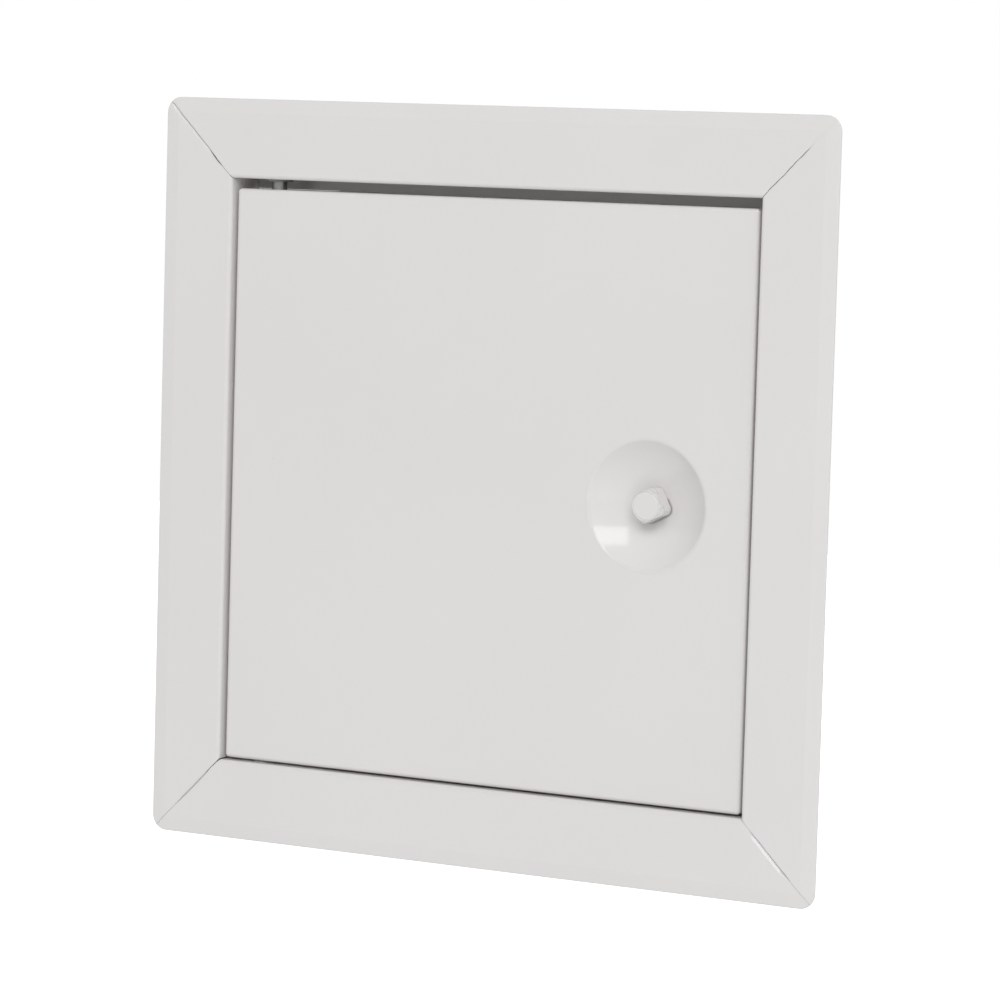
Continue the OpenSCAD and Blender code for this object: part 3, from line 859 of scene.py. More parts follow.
def lathe_skin(spin: Spin, marks: list[tuple[float, float]], radius: float, capped: bool) -> Surface:
    """Turned piece: each corner of its outline becomes a short parabola between the two sides.

    Args:
        spin: the axis.
        marks: radius and place along the axis of each corner, in order.
        radius: length of side that each rounding takes.
        capped: whether the outline is open, with flat ends, instead of a closed ring.

    Returns:
        The closed skin.
    """
    corner = np.array(marks, dtype=float)
    before = np.roll(corner, 1, axis=0) - corner
    after = np.roll(corner, -1, axis=0) - corner
    before_length = np.linalg.norm(before, axis=1, keepdims=True)
    after_length = np.linalg.norm(after, axis=1, keepdims=True)
    start = corner + before / before_length * np.minimum(radius, 0.4 * before_length)
    end = corner + after / after_length * np.minimum(radius, 0.4 * after_length)
    share = np.linspace(0.0, 1.0, 6)[None, :, None]
    curve = ((1 - share) ** 2 * start[:, None] + 2 * share * (1 - share) * corner[:, None]
             + share ** 2 * end[:, None])
    if capped:
        curve = np.concatenate([corner[:1], curve[1:-1].reshape(-1, 2), corner[-1:]])
    outline = curve.reshape(-1, 2)
    return turned_skin(spin, np.repeat(outline[:, :1], AROUND // 2, axis=1), outline[:, 1], capped)


def plate_rings(inner: Array, outer: Array, near: float, far: float,
                radius: float) -> tuple[Array, Array]:
    """Rings round a plate with a hole: over its near face, its rim, its far face and its hole.

    Each of the four edges is a quarter turn of the given radius.

    Args:
        inner: radius of the hole at each angle.
        outer: radius of the rim at each angle.
        near: place of the first face along the axis.
        far: place of the second face.
        radius: radius of the edges.

    Returns:
        Radii of all points, a row for each ring, and the place of each ring along the axis.
    """
    turn = np.radians(np.linspace(0.0, 90.0, 5))[:, None]
    share = np.linspace(0.0, 1.0, 16)[1:-1, None]
    face = inner + radius + share * (outer - inner - 2.0 * radius)
    rim = outer - radius * (1.0 - np.sin(turn))
    hole = inner + radius * (1.0 - np.sin(turn))
    rise = radius * (1.0 - np.cos(turn[:, 0]))
    flat = np.zeros(len(share))
    radii = np.concatenate([face, rim, rim[::-1], face[::-1], hole, hole[::-1]])
    depths = [near + flat, near + rise, far - rise[::-1], far - flat, far - rise, near + rise[::-1]]
    return radii, np.concatenate(depths)


@dataclass
class LockCam:
    """Cam: an arm from a round hub to a round tip, with a ramp on the front of its leading edge."""

    near: float = 16.8
    far: float = 19.8
    hub: float = 9.0
    tip: float = 5.5
    reach: float = 37.0
    ramp: float = 12.0
    ramp_start: float = 11.5
    ramp_soft: float = 1.5
    ramp_side: float = -1.5
    rounding: float = 0.4
    hole_radius: float = 4.05
    hole_flats: float = 3.05
    columns: int = 288
    crowding: float = 0.8

    def outline(self, angles: Array) -> Array:
        """Radius of the arm: the far crossing with the tip's circle, then the straight side, then the hub.

        Args:
            angles: angles from the arm's direction.

        Returns:
            Radius at each angle.
        """
        tip_place = self.reach - self.tip
        lean = math.acos((self.hub - self.tip) / tip_place)
        touch = math.atan2(self.tip * math.sin(lean), tip_place + self.tip * math.cos(lean))
        turned = np.abs(angles)
        inside = np.maximum(self.tip ** 2 - (tip_place * np.sin(turned)) ** 2, 0.0)
        at_tip = tip_place * np.cos(turned) + np.sqrt(inside)
        side = self.hub / np.cos(np.minimum(np.abs(turned - lean), 1.5))
        return np.where(turned < touch, at_tip, np.where(turned < lean, side, self.hub))

    def surface(self) -> Surface:
        """Rings about the lock's axis, with angles closer together towards the tip.

        The ramp moves the front back by its slope times the distance past its side, less towards the rear.

        Returns:
            The closed skin of the cam.
        """
        even = np.linspace(-math.pi, math.pi, self.columns + 1)[:-1]
        angles = even - self.crowding * np.sin(even)
        hole = np.minimum(self.hole_radius, self.hole_flats / np.maximum(np.abs(np.cos(angles)), 1e-3))
        radii, depths = plate_rings(hole, self.outline(angles), self.near, self.far, self.rounding)
        along, across = radii * np.cos(angles), radii * np.sin(angles)
        ramp = math.tan(math.radians(self.ramp)) * np.maximum(self.ramp_side - across, 0.0)
        ramp = ramp * smooth_step(along, self.ramp_start, self.ramp_start + self.ramp_soft)
        share = (self.far - depths[:, None]) / (self.far - self.near)
        return turned_skin(Spin.LOCK, radii, depths[:, None] + ramp * share, False, angles)


def soft_least(first: Array, second: Array, sharpness: float) -> Array:
    """Smaller of two radii with a rounded change-over: the inverse power mean of the two."""
    return (first ** -sharpness + second ** -sharpness) ** (-1.0 / sharpness)


@dataclass
class HexNut:
    """Nut: a hexagon with both ends cut by a cone."""

    near: float = 22.6
    far: float = 27.6
    half_width: float = 5.0
    bore: float = 3.05
    chamfer: float = 0.45
    cone_start: float = 0.96
    cone_angle: float = 30.0
    sharpness: float = 90.0

    def surface(self) -> Surface:
        """Rings along the lock's axis: the smaller of the hexagon and the end cones, then the bore."""
        angles = np.arange(AROUND) * 2.0 * math.pi / AROUND
        hexagon = self.half_width / np.cos(angles % (math.pi / 3.0) - math.pi / 6.0)
        length = self.far - self.near
        place = np.concatenate([np.linspace(0.0, 0.8, 14), np.linspace(1.0, length - 1.0, 5),
                                np.linspace(length - 0.8, length, 14)])
        widening = np.minimum(place, length - place) / math.tan(math.radians(self.cone_angle))
        cone = self.cone_start * self.half_width + widening
        sides = soft_least(np.broadcast_to(hexagon, (len(place), AROUND)), cone[:, None], self.sharpness)
        flat = np.linspace(self.bore + self.chamfer, 0.9 * self.half_width, 4)
        bore = self.bore + np.array([self.chamfer, 0.1, 0.0, 0.0])
        bore_place = np.array([0.02, 0.35, 0.5, 1.0])
        rounds = (flat, flat[::-1], np.concatenate([bore, bore[::-1]]))
        near_end, far_end, inside = [np.repeat(ring[:, None], AROUND, axis=1) for ring in rounds]
        radii = np.concatenate([near_end, sides, far_end, inside])
        depths = [0.0 * flat, place, length + 0.0 * flat, length - bore_place, bore_place[::-1]]
        return turned_skin(Spin.LOCK, radii, self.near + np.concatenate(depths), False)


@dataclass
class LockSpindle:
    """Spindle: a square head with a turned front and a neck behind it, a shank, two flats and a thread."""

    front: float = -0.1
    half_square: float = 4.85
    corner_round: float = 2.2
    front_radius: float = 4.75
    bevel: float = 3.4
    bevel_length: float = 2.4
    sharpness: float = 110.0
    groove: float = 0.2
    head: float = 7.1
    neck: float = 0.15
    foot_round: float = 0.15
    shank_radius: float = 4.0
    shank_end: float = 15.4
    flats: float = 3.0
    flats_end: float = 19.9
    thread_radius: float = 3.0
    thread_end: float = 29.2
    thread_taper: float = 0.5
    pitch: float = 1.0

    @staticmethod
    def from_flat(angles: Array) -> Array:
        """Angle from the middle of the nearest flat of the square."""
        return np.abs((angles + math.pi / 4.0) % (math.pi / 2.0) - math.pi / 4.0)

    def square_radius(self, angles: Array) -> Array:
        """Radius of a square with round corners: along a flat the half width over the cosine, and at a corner
        the far crossing of the ray with the corner's circle."""
        folded = self.from_flat(angles)
        flat = self.half_square / np.cos(folded)
        inset = self.half_square - self.corner_round
        middle = inset * (np.cos(folded) + np.sin(folded))
        inside = np.maximum(self.corner_round ** 2 - 2.0 * inset ** 2 + middle ** 2, 0.0)
        round_part = middle + np.sqrt(inside)
        return np.where(self.half_square * np.tan(folded) > inset, round_part, flat)

    def thread_rings(self, angles: Array, thread: Array) -> Array:
        """Radii of the thread, which fades at both ends.

        They fall from the crest by a triangle wave of the place along the axis over the pitch, less the angle
        over a full turn.

        Args:
            angles: angle of each column.
            thread: place of each ring along the axis.

        Returns:
            Radius of each point, a row for each ring.
        """
        wave = (thread[:, None] / self.pitch - angles[None, :] / (2.0 * math.pi)) % 1.0
        fade = smooth_step(thread, self.flats_end, self.flats_end + 1.2)
        fade *= 1.0 - smooth_step(thread, self.thread_end - 0.9, self.thread_end)
        groove = 0.55 * self.pitch * np.abs(2.0 * wave - 1.0) * fade[:, None]
        taper = self.thread_taper * smooth_step(thread, self.thread_end - 0.7, self.thread_end)
        return self.thread_radius - groove - taper[:, None]

    def surface(self) -> Surface:
        """Rings along the lock's axis: the square cut by the bevel's cone, then shank, flats and thread.

        Returns:
            The closed skin of the spindle, worn at the corners of its bevel.
        """
        angles = np.arange(AROUND) * 2.0 * math.pi / AROUND
        slope = (math.sqrt(2.0) * self.half_square - self.front_radius) / self.bevel
        foot = self.head - self.neck
        bevel = np.linspace(0.0, self.bevel_length, 40)
        straight = np.linspace(self.bevel_length + 0.2, foot - 0.25, 9)
        head = np.concatenate([bevel, straight, [foot - 0.15, foot - 0.05, foot]])
        cone = (self.front_radius + slope * head)[:, None]
        square = np.broadcast_to(self.square_radius(angles), (len(head), AROUND))
        past = np.clip(head - foot + self.foot_round, 0.0, self.foot_round)
        under = self.foot_round - np.sqrt(np.maximum(self.foot_round ** 2 - past ** 2, 0.0))
        head_rings = soft_least(square, cone, self.sharpness) - under[:, None]
        disc = self.front_radius - np.array([1.6, 0.6, 0.46, 0.4, 0.34, 0.25, 0.15, 0.07, 0.03])[:, None]
        face_rings = np.broadcast_to(disc, (len(disc), AROUND))
        face_depth = self.groove * np.array([0.0, 0.0, 0.0, 0.2, 0.7, 1.0, 1.0, 0.7, 0.2])
        shank = np.array([foot + 0.01, self.head + 0.01, self.shank_end])
        shank_rings = np.full((len(shank), AROUND), self.shank_radius)
        two_flats = np.minimum(self.shank_radius, self.flats / np.maximum(np.abs(np.cos(angles)), 1e-3))
        flat_depth = np.array([self.shank_end + 0.02, self.flats_end])
        flat_rings = np.tile(two_flats, (len(flat_depth), 1))
        thread = np.linspace(self.flats_end + 0.02, self.thread_end, 96)
        radii = np.concatenate([face_rings, head_rings, shank_rings, flat_rings,
                                self.thread_rings(angles, thread)])
        depths = np.concatenate([face_depth, head, shank, flat_depth, thread]) + self.front
        skin = turned_skin(Spin.LOCK, radii, depths, True)
        on_bevel = np.zeros((len(radii), 1))
        on_bevel[len(disc) + 2:len(disc) + len(bevel)] = 1.0
        corner = smooth_step(self.from_flat(angles), 0.32, 0.55)
        worn = smooth_step(radii, 0.98 * self.half_square, 1.08 * self.half_square)
        skin.edge = (on_bevel * corner * worn).ravel()
        return skin


# Finishes


class ShaderSheet:
    """Adds shader nodes to one node tree and wires them."""

    def __init__(self, tree: bpy.types.NodeTree) -> None:
        """Takes the tree and empties it.

        Args:
            tree: node tree of a material, a world or a group.
        """
        self.tree = tree
        tree.nodes.clear()

    def node(self, kind: str, values: dict[str, object] | None = None, **settings: object) -> bpy.types.Node:
        """Adds one node.

        Args:
            kind: type name of the node.
            values: values for its input sockets, by name.
            settings: properties of the node, by name.

        Returns:
            The new node.
        """
        new = self.tree.nodes.new(kind)
        for name, setting in settings.items():
            setattr(new, name, setting)
        for name, value in (values or {}).items():
            new.inputs[name].default_value = value
        return new

    def wire(self, source: Socket, target: Socket) -> None:
        """Links an output to an input."""
        self.tree.links.new(source, target)

    def noise(self, place: Socket, scale: float, detail: float) -> Socket:
        """Adds a noise texture read at a place and returns its value."""
        new = self.node("ShaderNodeTexNoise", {"Scale": scale, "Detail": detail})
        self.wire(place, new.inputs["Vector"])
        return new.outputs[0]

    def ramp(self, value: Socket, low: float, high: float, out_low: float,
             out_high: float) -> Socket:
        """Maps a value from one range to another, held at both ends, and returns the result."""
        new = self.node("ShaderNodeMapRange", {"From Min": low, "From Max": high, "To Min": out_low,
                                               "To Max": out_high})
        self.wire(value, new.inputs["Value"])
        return new.outputs["Result"]

    def maths(self, operation: str, first: Socket, second: object) -> Socket:
        """Joins two values, the second a socket or a number, and returns the result."""
        new = self.node("ShaderNodeMath", operation=operation)
        self.wire(first, new.inputs[0])
        if isinstance(second, Socket):
            self.wire(second, new.inputs[1])
        else:
            new.inputs[1].default_value = second
        return new.outputs[0]

    def mix(self, share: Socket, first: object, second: object) -> Socket:
        """Mixes two colours, each a socket or a colour, and returns the result."""
        new = self.node("ShaderNodeMix", data_type="RGBA")
        self.wire(share, new.inputs[0])
        for index, colour in ((6, first), (7, second)):
            if isinstance(colour, Socket):
                self.wire(colour, new.inputs[index])
            else:
                new.inputs[index].default_value = (*colour, 1.0)
        return new.outputs[2]

    def clouds(self, place: Socket, scale: float, detail: float, low: float = 0.0,
               high: float = 1.0) -> Socket:
        """Adds a noise texture whose middle range is stretched between two values, and returns the result."""
        return self.ramp(self.noise(place, scale, detail), 0.3, 0.7, low, high)

    def cells(self, place: Socket, scale: float) -> tuple[Socket, object]:
        """Adds random cells and returns the distance to a cell's point and its random colour's channels."""
        new = self.node("ShaderNodeTexVoronoi", {"Scale": scale})
        self.wire(place, new.inputs["Vector"])
        split = self.node("ShaderNodeSeparateColor")
        self.wire(new.outputs["Color"], split.inputs[0])
        return new.outputs["Distance"], split.outputs

    def added(self, first: bpy.types.Node, second: bpy.types.Node) -> Socket:
        """Adds two shader nodes together and returns the sum."""
        new = self.node("ShaderNodeAddShader")
        self.wire(first.outputs[0], new.inputs[0])
        self.wire(second.outputs[0], new.inputs[1])
        return new.outputs[0]


class FinishSheet(ShaderSheet):
    """A new material with one shader, wired to its output, and the object's own coordinates."""

    def __init__(self, name: str) -> None:
        """Starts a material.

        Args:
            name: name of the material.
        """
        self.material = bpy.data.materials.new(name)
        self.material.use_nodes = True
        super().__init__(self.material.node_tree)
        self.shader = self.node("ShaderNodeBsdfPrincipled")
        output = self.node("ShaderNodeOutputMaterial")
        self.wire(self.shader.outputs["BSDF"], output.inputs["Surface"])
        self.place = self.node("ShaderNodeTexCoord").outputs["Object"]

    def group(self, name: str) -> bpy.types.Node:
        """Places a node group that reads the object's coordinates."""
        new = self.node("ShaderNodeGroup", node_tree=bpy.data.node_groups[name])
        self.wire(self.place, new.inputs["Place"])
        return new

    def attribute(self, name: str) -> Socket:
        """Reads a value that the piece holds at its points."""
        return self.node("ShaderNodeAttribute", attribute_name=name).outputs["Fac"]

    def feed(self, colour: Socket, roughness: Socket, height: Socket,
             strength: float, distance: float) -> bpy.types.Material:
        """Wires what changes over the surface to the shader.

        Args:
            colour: its base colour.
            roughness: its roughness.
            height: height of its fine relief.
            strength: strength of the relief's bump.
            distance: depth of the relief in metres.

        Returns:
            The finished material.
        """
        bump = self.node("ShaderNodeBump", {"Strength": strength, "Distance": distance})
        self.wire(height, bump.inputs["Height"])
        sources = {"Base Color": colour, "Roughness": roughness, "Normal": bump.outputs["Normal"]}
        for name, source in sources.items():
            self.wire(source, self.shader.inputs[name])
        return self.material


def new_group(name: str, inputs: dict[str, str], outputs: list[str]) -> tuple[ShaderSheet, dict, dict]:
    """Makes an empty node group with the given sockets.

    Args:
        name: name of the group.
        inputs: socket types by name.
        outputs: names of its outputs, all of them plain values.

    Returns:
        The sheet to draw on, the group's inputs as sockets to read, and its outputs as sockets to wire to.
    """
    tree = bpy.data.node_groups.new(name, "ShaderNodeTree")
    for label, kind in inputs.items():
        tree.interface.new_socket(label, in_out="INPUT", socket_type=kind)
    for label in outputs:
        tree.interface.new_socket(label, in_out="OUTPUT", socket_type=FLOAT)
    sheet = ShaderSheet(tree)
    entry = sheet.node("NodeGroupInput")
    leave = sheet.node("NodeGroupOutput")
    given = {label: entry.outputs[label] for label in inputs}
    return sheet, given, {label: leave.inputs[label] for label in outputs}


def paint_film_group() -> None:
    """Sprayed film: cloudy tone, orange-peel height, uneven gloss, and a thin film on bent and cut edges."""
    sheet, given, result = new_group("paint_film", {"Place": VECTOR, "Edge": FLOAT},
                                     ["Tone", "Gloss", "Height", "Thin"])
    place = given["Place"]
    sheet.wire(sheet.clouds(place, 14.0, 4.0), result["Tone"])
    sheet.wire(sheet.clouds(place, 55.0, 3.0), result["Gloss"])
    sheet.wire(sheet.noise(place, 620.0, 2.0), result["Height"])
    broken = sheet.ramp(sheet.noise(place, 260.0, 4.0), 0.35, 0.65, 0.4, 1.0)
    sheet.wire(sheet.maths("MULTIPLY", given["Edge"], broken), result["Thin"])


def specks_group() -> None:
    """Sparse dust specks: points of random cells, kept where the cell's random colour passes a limit."""
    sheet, given, result = new_group("dust_specks", {"Place": VECTOR}, ["Mask"])
    distance, colour = sheet.cells(given["Place"], 75.0)
    dot = sheet.ramp(distance, 0.012, 0.03, 1.0, 0.0)
    chosen = sheet.maths("GREATER_THAN", colour[0], 0.9)
    sheet.wire(sheet.maths("MULTIPLY", dot, chosen), result["Mask"])


def metal_grain_group() -> None:
    """Plated metal: clouds of tone and gloss, with fine rolling lines drawn out along one axis."""
    sheet, given, result = new_group("metal_grain", {"Place": VECTOR}, ["Tone", "Gloss", "Height"])
    drawn = sheet.node("ShaderNodeMapping", {"Scale": (1.0, 1.0, 0.08)})
    sheet.wire(given["Place"], drawn.inputs["Vector"])
    sheet.wire(sheet.noise(drawn.outputs[0], 2600.0, 2.0), result["Height"])
    sheet.wire(sheet.clouds(given["Place"], 120.0, 4.0), result["Tone"])
    sheet.wire(sheet.clouds(given["Place"], 300.0, 3.0), result["Gloss"])


def spangle_group() -> None:
    """Zinc crystals of a hot-dipped sheet: a random tone and gloss for each cell, with bent borders."""
    sheet, given, result = new_group("zinc_spangle", {"Place": VECTOR}, ["Tone", "Gloss"])
    bend = sheet.node("ShaderNodeTexNoise", {"Scale": 160.0, "Detail": 2.0})
    sheet.wire(given["Place"], bend.inputs["Vector"])
    warped = sheet.node("ShaderNodeMix", data_type="VECTOR")
    warped.inputs[0].default_value = 0.006
    sheet.wire(given["Place"], warped.inputs[4])
    sheet.wire(bend.outputs["Color"], warped.inputs[5])
    _, colour = sheet.cells(warped.outputs[1], 240.0)
    sheet.wire(colour[0], result["Tone"])
    sheet.wire(colour[1], result["Gloss"])


@dataclass(frozen=True)
class SprayedPaint:
    """White powder paint with a soft gloss, bare to the given share where its film is thin."""

    name: str
    thin: Triple
    bare_metal_and_seam_shade: float
    light: Triple = (0.732, 0.712, 0.7)
    dark: Triple = (0.718, 0.698, 0.686)
    speck: Triple = (0.2, 0.19, 0.18)
    speck_strength: float = 0.55
    # dark grey of the painted shade
    painted_shade: Triple = (0.13, 0.13, 0.14)
    gloss_low: float = 0.11
    gloss_high: float = 0.15
    specular: float = 0.33

    def material(self) -> bpy.types.Material:
        """Builds the paint: clouds of two tones, thin edges, specks, painted shade in open seams and at the
        key's foot, uneven gloss and a fine bump.
        """
        sheet = FinishSheet(self.name)
        film = sheet.group("paint_film")
        sheet.wire(sheet.attribute("edge"), film.inputs["Edge"])
        tone = sheet.mix(film.outputs["Tone"], self.dark, self.light)
        thinned = sheet.mix(film.outputs["Thin"], tone, self.thin)
        speck = sheet.maths("MULTIPLY", sheet.group("dust_specks").outputs["Mask"], self.speck_strength)
        # painted shade: the dark grey is mixed in where the points hold shade
        colour = sheet.mix(sheet.attribute("painted_shade"), sheet.mix(speck, thinned, self.speck), self.painted_shade)
        gloss = sheet.ramp(film.outputs["Gloss"], 0.0, 1.0, self.gloss_low, self.gloss_high)
        if self.bare_metal_and_seam_shade > 0.0:
            bare_metal_and_seam_shade = sheet.maths("MULTIPLY", film.outputs["Thin"], self.bare_metal_and_seam_shade)
            sheet.wire(bare_metal_and_seam_shade, sheet.shader.inputs["Metallic"])
        sheet.shader.inputs["Specular IOR Level"].default_value = self.specular
        return sheet.feed(colour, gloss, film.outputs["Height"], 0.06, 0.00012)


@dataclass(frozen=True)
class PlatedSteel:
    """Zinc-plated or blackened steel."""

    name: str
    light: Triple
    dark: Triple
    gloss_low: float
    gloss_high: float

    def material(self) -> bpy.types.Material:
        """Builds the plating: clouds between two tones and fine rolling lines in the bump."""
        sheet = FinishSheet(self.name)
        grain = sheet.group("metal_grain").outputs
        colour = sheet.mix(grain["Tone"], self.dark, self.light)
        gloss = sheet.ramp(grain["Gloss"], 0.0, 1.0, self.gloss_low, self.gloss_high)
        sheet.shader.inputs["Metallic"].default_value = 1.0
        return sheet.feed(colour, gloss, grain["Height"], 0.15, 0.00005)


@dataclass(frozen=True)
class GalvanisedSheet:
    """Hot-dipped sheet steel with visible zinc crystals."""

    name: str
    light: Triple
    dark: Triple
    gloss_low: float
    gloss_high: float

    def material(self) -> bpy.types.Material:
        """Builds the sheet: one tone, one gloss and one height for each crystal."""
        sheet = FinishSheet(self.name)
        spangle = sheet.group("zinc_spangle").outputs
        colour = sheet.mix(spangle["Tone"], self.dark, self.light)
        gloss = sheet.ramp(spangle["Gloss"], 0.0, 1.0, self.gloss_low, self.gloss_high)
        sheet.shader.inputs["Metallic"].default_value = 1.0
        return sheet.feed(colour, gloss, spangle["Tone"], 0.08, 0.00005)


@dataclass(frozen=True)
class MouldedNylon:
    """Natural nylon with a fine mould texture, with painted shade: the flanges inside the collar are coloured
    dark, where they stand in the shaded gap.
    """

    name: str
    light: Triple
    dark: Triple
    flange_shade: Triple
    collar: float
    fade: float = 0.0002

    def material(self) -> bpy.types.Material:
        """Builds the nylon: clouds of tone, painted shade on the flanges nearer than the collar, and a fine
        grain in the bump.
        """
        sheet = FinishSheet(self.name)
        place = sheet.place
        clean = sheet.mix(sheet.clouds(place, 300.0, 3.0), self.dark, self.light)
        axes = sheet.node("ShaderNodeSeparateXYZ")
        sheet.wire(place, axes.inputs[0])
        height = sheet.maths("MULTIPLY", axes.outputs["Z"], axes.outputs["Z"])
        flange = sheet.ramp(height, self.collar ** 2, (self.collar - self.fade) ** 2, 0.0, 1.0)
        shaded_flange = sheet.maths("MULTIPLY", flange, sheet.clouds(place, 900.0, 3.0, 0.8, 1.0))
        colour = sheet.mix(shaded_flange, clean, self.flange_shade)
        gloss = sheet.clouds(place, 500.0, 2.0, 0.42, 0.55)
        return sheet.feed(colour, gloss, sheet.noise(place, 3000.0, 2.0), 0.1, 0.00005)


class Finish(Enum):
    """All finishes of the panel."""

    PAINT = SprayedPaint("white_powder_paint", (0.7, 0.678, 0.662), 0.0)
    WORN_PAINT = SprayedPaint("worn_white_paint", (0.8, 0.81, 0.83), 0.6)
    ZINC = PlatedSteel("bright_zinc_plate", (0.5, 0.505, 0.5), (0.36, 0.365, 0.37), 0.28, 0.44)
    SPRING = PlatedSteel("blued_spring_steel", (0.16, 0.165, 0.18), (0.1, 0.1, 0.11), 0.3, 0.45)
    PIN = PlatedSteel("phosphated_pin_steel", (0.3, 0.3, 0.29), (0.2, 0.2, 0.195), 0.32, 0.46)
    GALVANISED = GalvanisedSheet("galvanised_strip", (0.66, 0.67, 0.68), (0.5, 0.51, 0.53), 0.32, 0.5)
    # the last colour is the painted shade of the bush flanges inside the gap
    NYLON = MouldedNylon("natural_nylon", (0.62, 0.61, 0.58), (0.55, 0.54, 0.5), (0.12, 0.118, 0.11),
                         OPENING / 2.0 * MM)

    def material(self) -> bpy.types.Material:
        """The finish as a material, built once."""
        found = bpy.data.materials.get(self.value.name)
        return found or self.value.material()


# Sub-assemblies


def dress(piece: bpy.types.Object, body: Body, nodes: list[str], finish: Finish) -> None:
    """Gives a piece its finish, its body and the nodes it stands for.

    Args:
        piece: the new object.
        body: CAD body that it moves with.
        nodes: CAD nodes that it replaces.
        finish: its material.
    """
    piece.data.materials.append(finish.material())
    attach(piece, body.value)
    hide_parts(*nodes)


def coat_nodes(nodes: dict[str, bpy.types.Object], names: list[str], finish: Finish) -> None:
    """Gives CAD nodes that stay in view a finish in each material slot.

    Args:
        nodes: CAD objects by name.
        names: the nodes to coat.
        finish: their material.
    """
    for name in names:
        for place in nodes[name].material_slots:
            place.material = finish.material()
        LOG.info("%s: %s", name, finish.value.name)


def hinge_skin(marks: list[tuple[float, float]], side: float, rounding: float, capped: bool) -> Surface:
    """Turned piece of the hinge: as drawn at the top, and mirrored at the bottom, where the side is -1."""
    return lathe_skin(Spin.HINGE, [(radius, side * height) for radius, height in marks], rounding, capped)


@dataclass
class Frame:
    """The four mitred rails and what is fixed to them."""

    hinge_lip: float = 3.38
    bare_lip: float = 0.6
    lip_step: float = 66.3
    mitre_end: float = 86.0
    bare_end: float = 92.5
    bush_hole: float = 3.6
    screw_hole: float = 2.25
    screw_place: float = 60.0
    screw_depth: float = 11.5
    bush_bore: float = 2.55
    bush_body: float = 3.55
    bush_flange: float = 4.55
    flange_sheet: float = 0.7
    collar_sheet: float = 1.0

    def rails(self) -> list[FrameRail]:
        """The four rails with their corners, lips and holes."""
        hinge = [Punch(side * HINGE_X, HINGE_Y - FACE_Y, self.bush_hole) for side in (1.0, -1.0)]
        screws = [Punch(side * self.screw_place, self.screw_depth, self.screw_hole) for side in (-1.0, 1.0)]
        near, far = self.mitre_end, self.bare_end
        return [
            FrameRail(Side.TOP, Corner.TOP_LEFT, Corner.TOP_RIGHT, self.hinge_lip, LIP,
                      -self.lip_step, -far, near, hinge[:1], square_left=True),
            FrameRail(Side.RIGHT, Corner.TOP_RIGHT, Corner.BOTTOM_RIGHT, LIP, LIP, 0.0, -near, near, screws),
            FrameRail(Side.BOTTOM, Corner.BOTTOM_RIGHT, Corner.BOTTOM_LEFT, LIP, self.bare_lip,
                      self.lip_step, -near, far, hinge[1:]),
            FrameRail(Side.LEFT, Corner.BOTTOM_LEFT, Corner.TOP_LEFT, 0.0, 0.0, 0.0, -far, far, screws),
        ]

    def build(self, nodes: dict[str, bpy.types.Object]) -> None:
        """Builds the rails and bushes, and coats the plates and anchors.

        Args:
            nodes: CAD objects by name.
        """
        for rail in self.rails():
            side = rail.side.name.lower()
            piece = add_piece("painted_rail_" + side, rail.surface())
            dress(piece, Body.FRAME, ["frame_rail_" + side], Finish.PAINT)
        corners = ["top_left", "top_right", "bottom_left", "bottom_right"]
        coat_nodes(nodes, ["corner_plate_" + corner for corner in corners], Finish.PAINT)
        coat_nodes(nodes, ["wall_anchor_" + corner for corner in corners], Finish.GALVANISED)
        collar = OPENING / 2.0
        inside, outside = collar - self.flange_sheet, collar + self.collar_sheet
        marks = [(self.bush_bore, inside), (self.bush_flange, inside), (self.bush_flange, collar),
                 (self.bush_body, collar), (self.bush_body, outside), (self.bush_bore, outside)]
        for end, side in (("top", 1.0), ("bottom", -1.0)):
            piece = add_piece("moulded_bush_" + end, hinge_skin(marks, side, 0.15, False))
            dress(piece, Body.FRAME, ["hinge_bush_" + end], Finish.NYLON)


@dataclass
class Door:
    """The folded door with its hinge brackets, pins and lock bush."""

    panel: DoorPanel = field(default_factory=DoorPanel)
    pin_radius: float = 2.5
    pin_head: float = 4.0
    pin_core: float = 0.5
    pin_past: float = 1.5
    top_seat: float = 92.5
    bottom_seat: float = 95.15

    def build(self, nodes: dict[str, bpy.types.Object]) -> None:
        """Builds the door sheet and the pins, and coats the other fittings.

        Args:
            nodes: CAD objects by name.
        """
        piece = add_piece("painted_door", self.panel.surface())
        dress(piece, Body.DOOR, ["door_panel"], Finish.PAINT)
        coat_nodes(nodes, ["hinge_bracket_top", "hinge_bracket_bottom"], Finish.PAINT)
        coat_nodes(nodes, ["lock_bush"], Finish.ZINC)
        head, shank, core = self.pin_head, self.pin_radius, self.pin_core
        tip = OPENING / 2.0 + self.pin_past
        for end, side, seat in (("top", 1.0, self.top_seat), ("bottom", -1.0, self.bottom_seat)):
            marks = [(core, seat - 2.0), (head - 0.6, seat - 1.95), (head, seat - 1.3), (head, seat),
                     (shank, seat), (shank, tip - 0.4), (shank - 0.4, tip), (core, tip)]
            piece = add_piece("turned_pin_" + end, hinge_skin(marks, side, 0.3, True))
            dress(piece, Body.DOOR, ["hinge_pin_" + end], Finish.PIN)


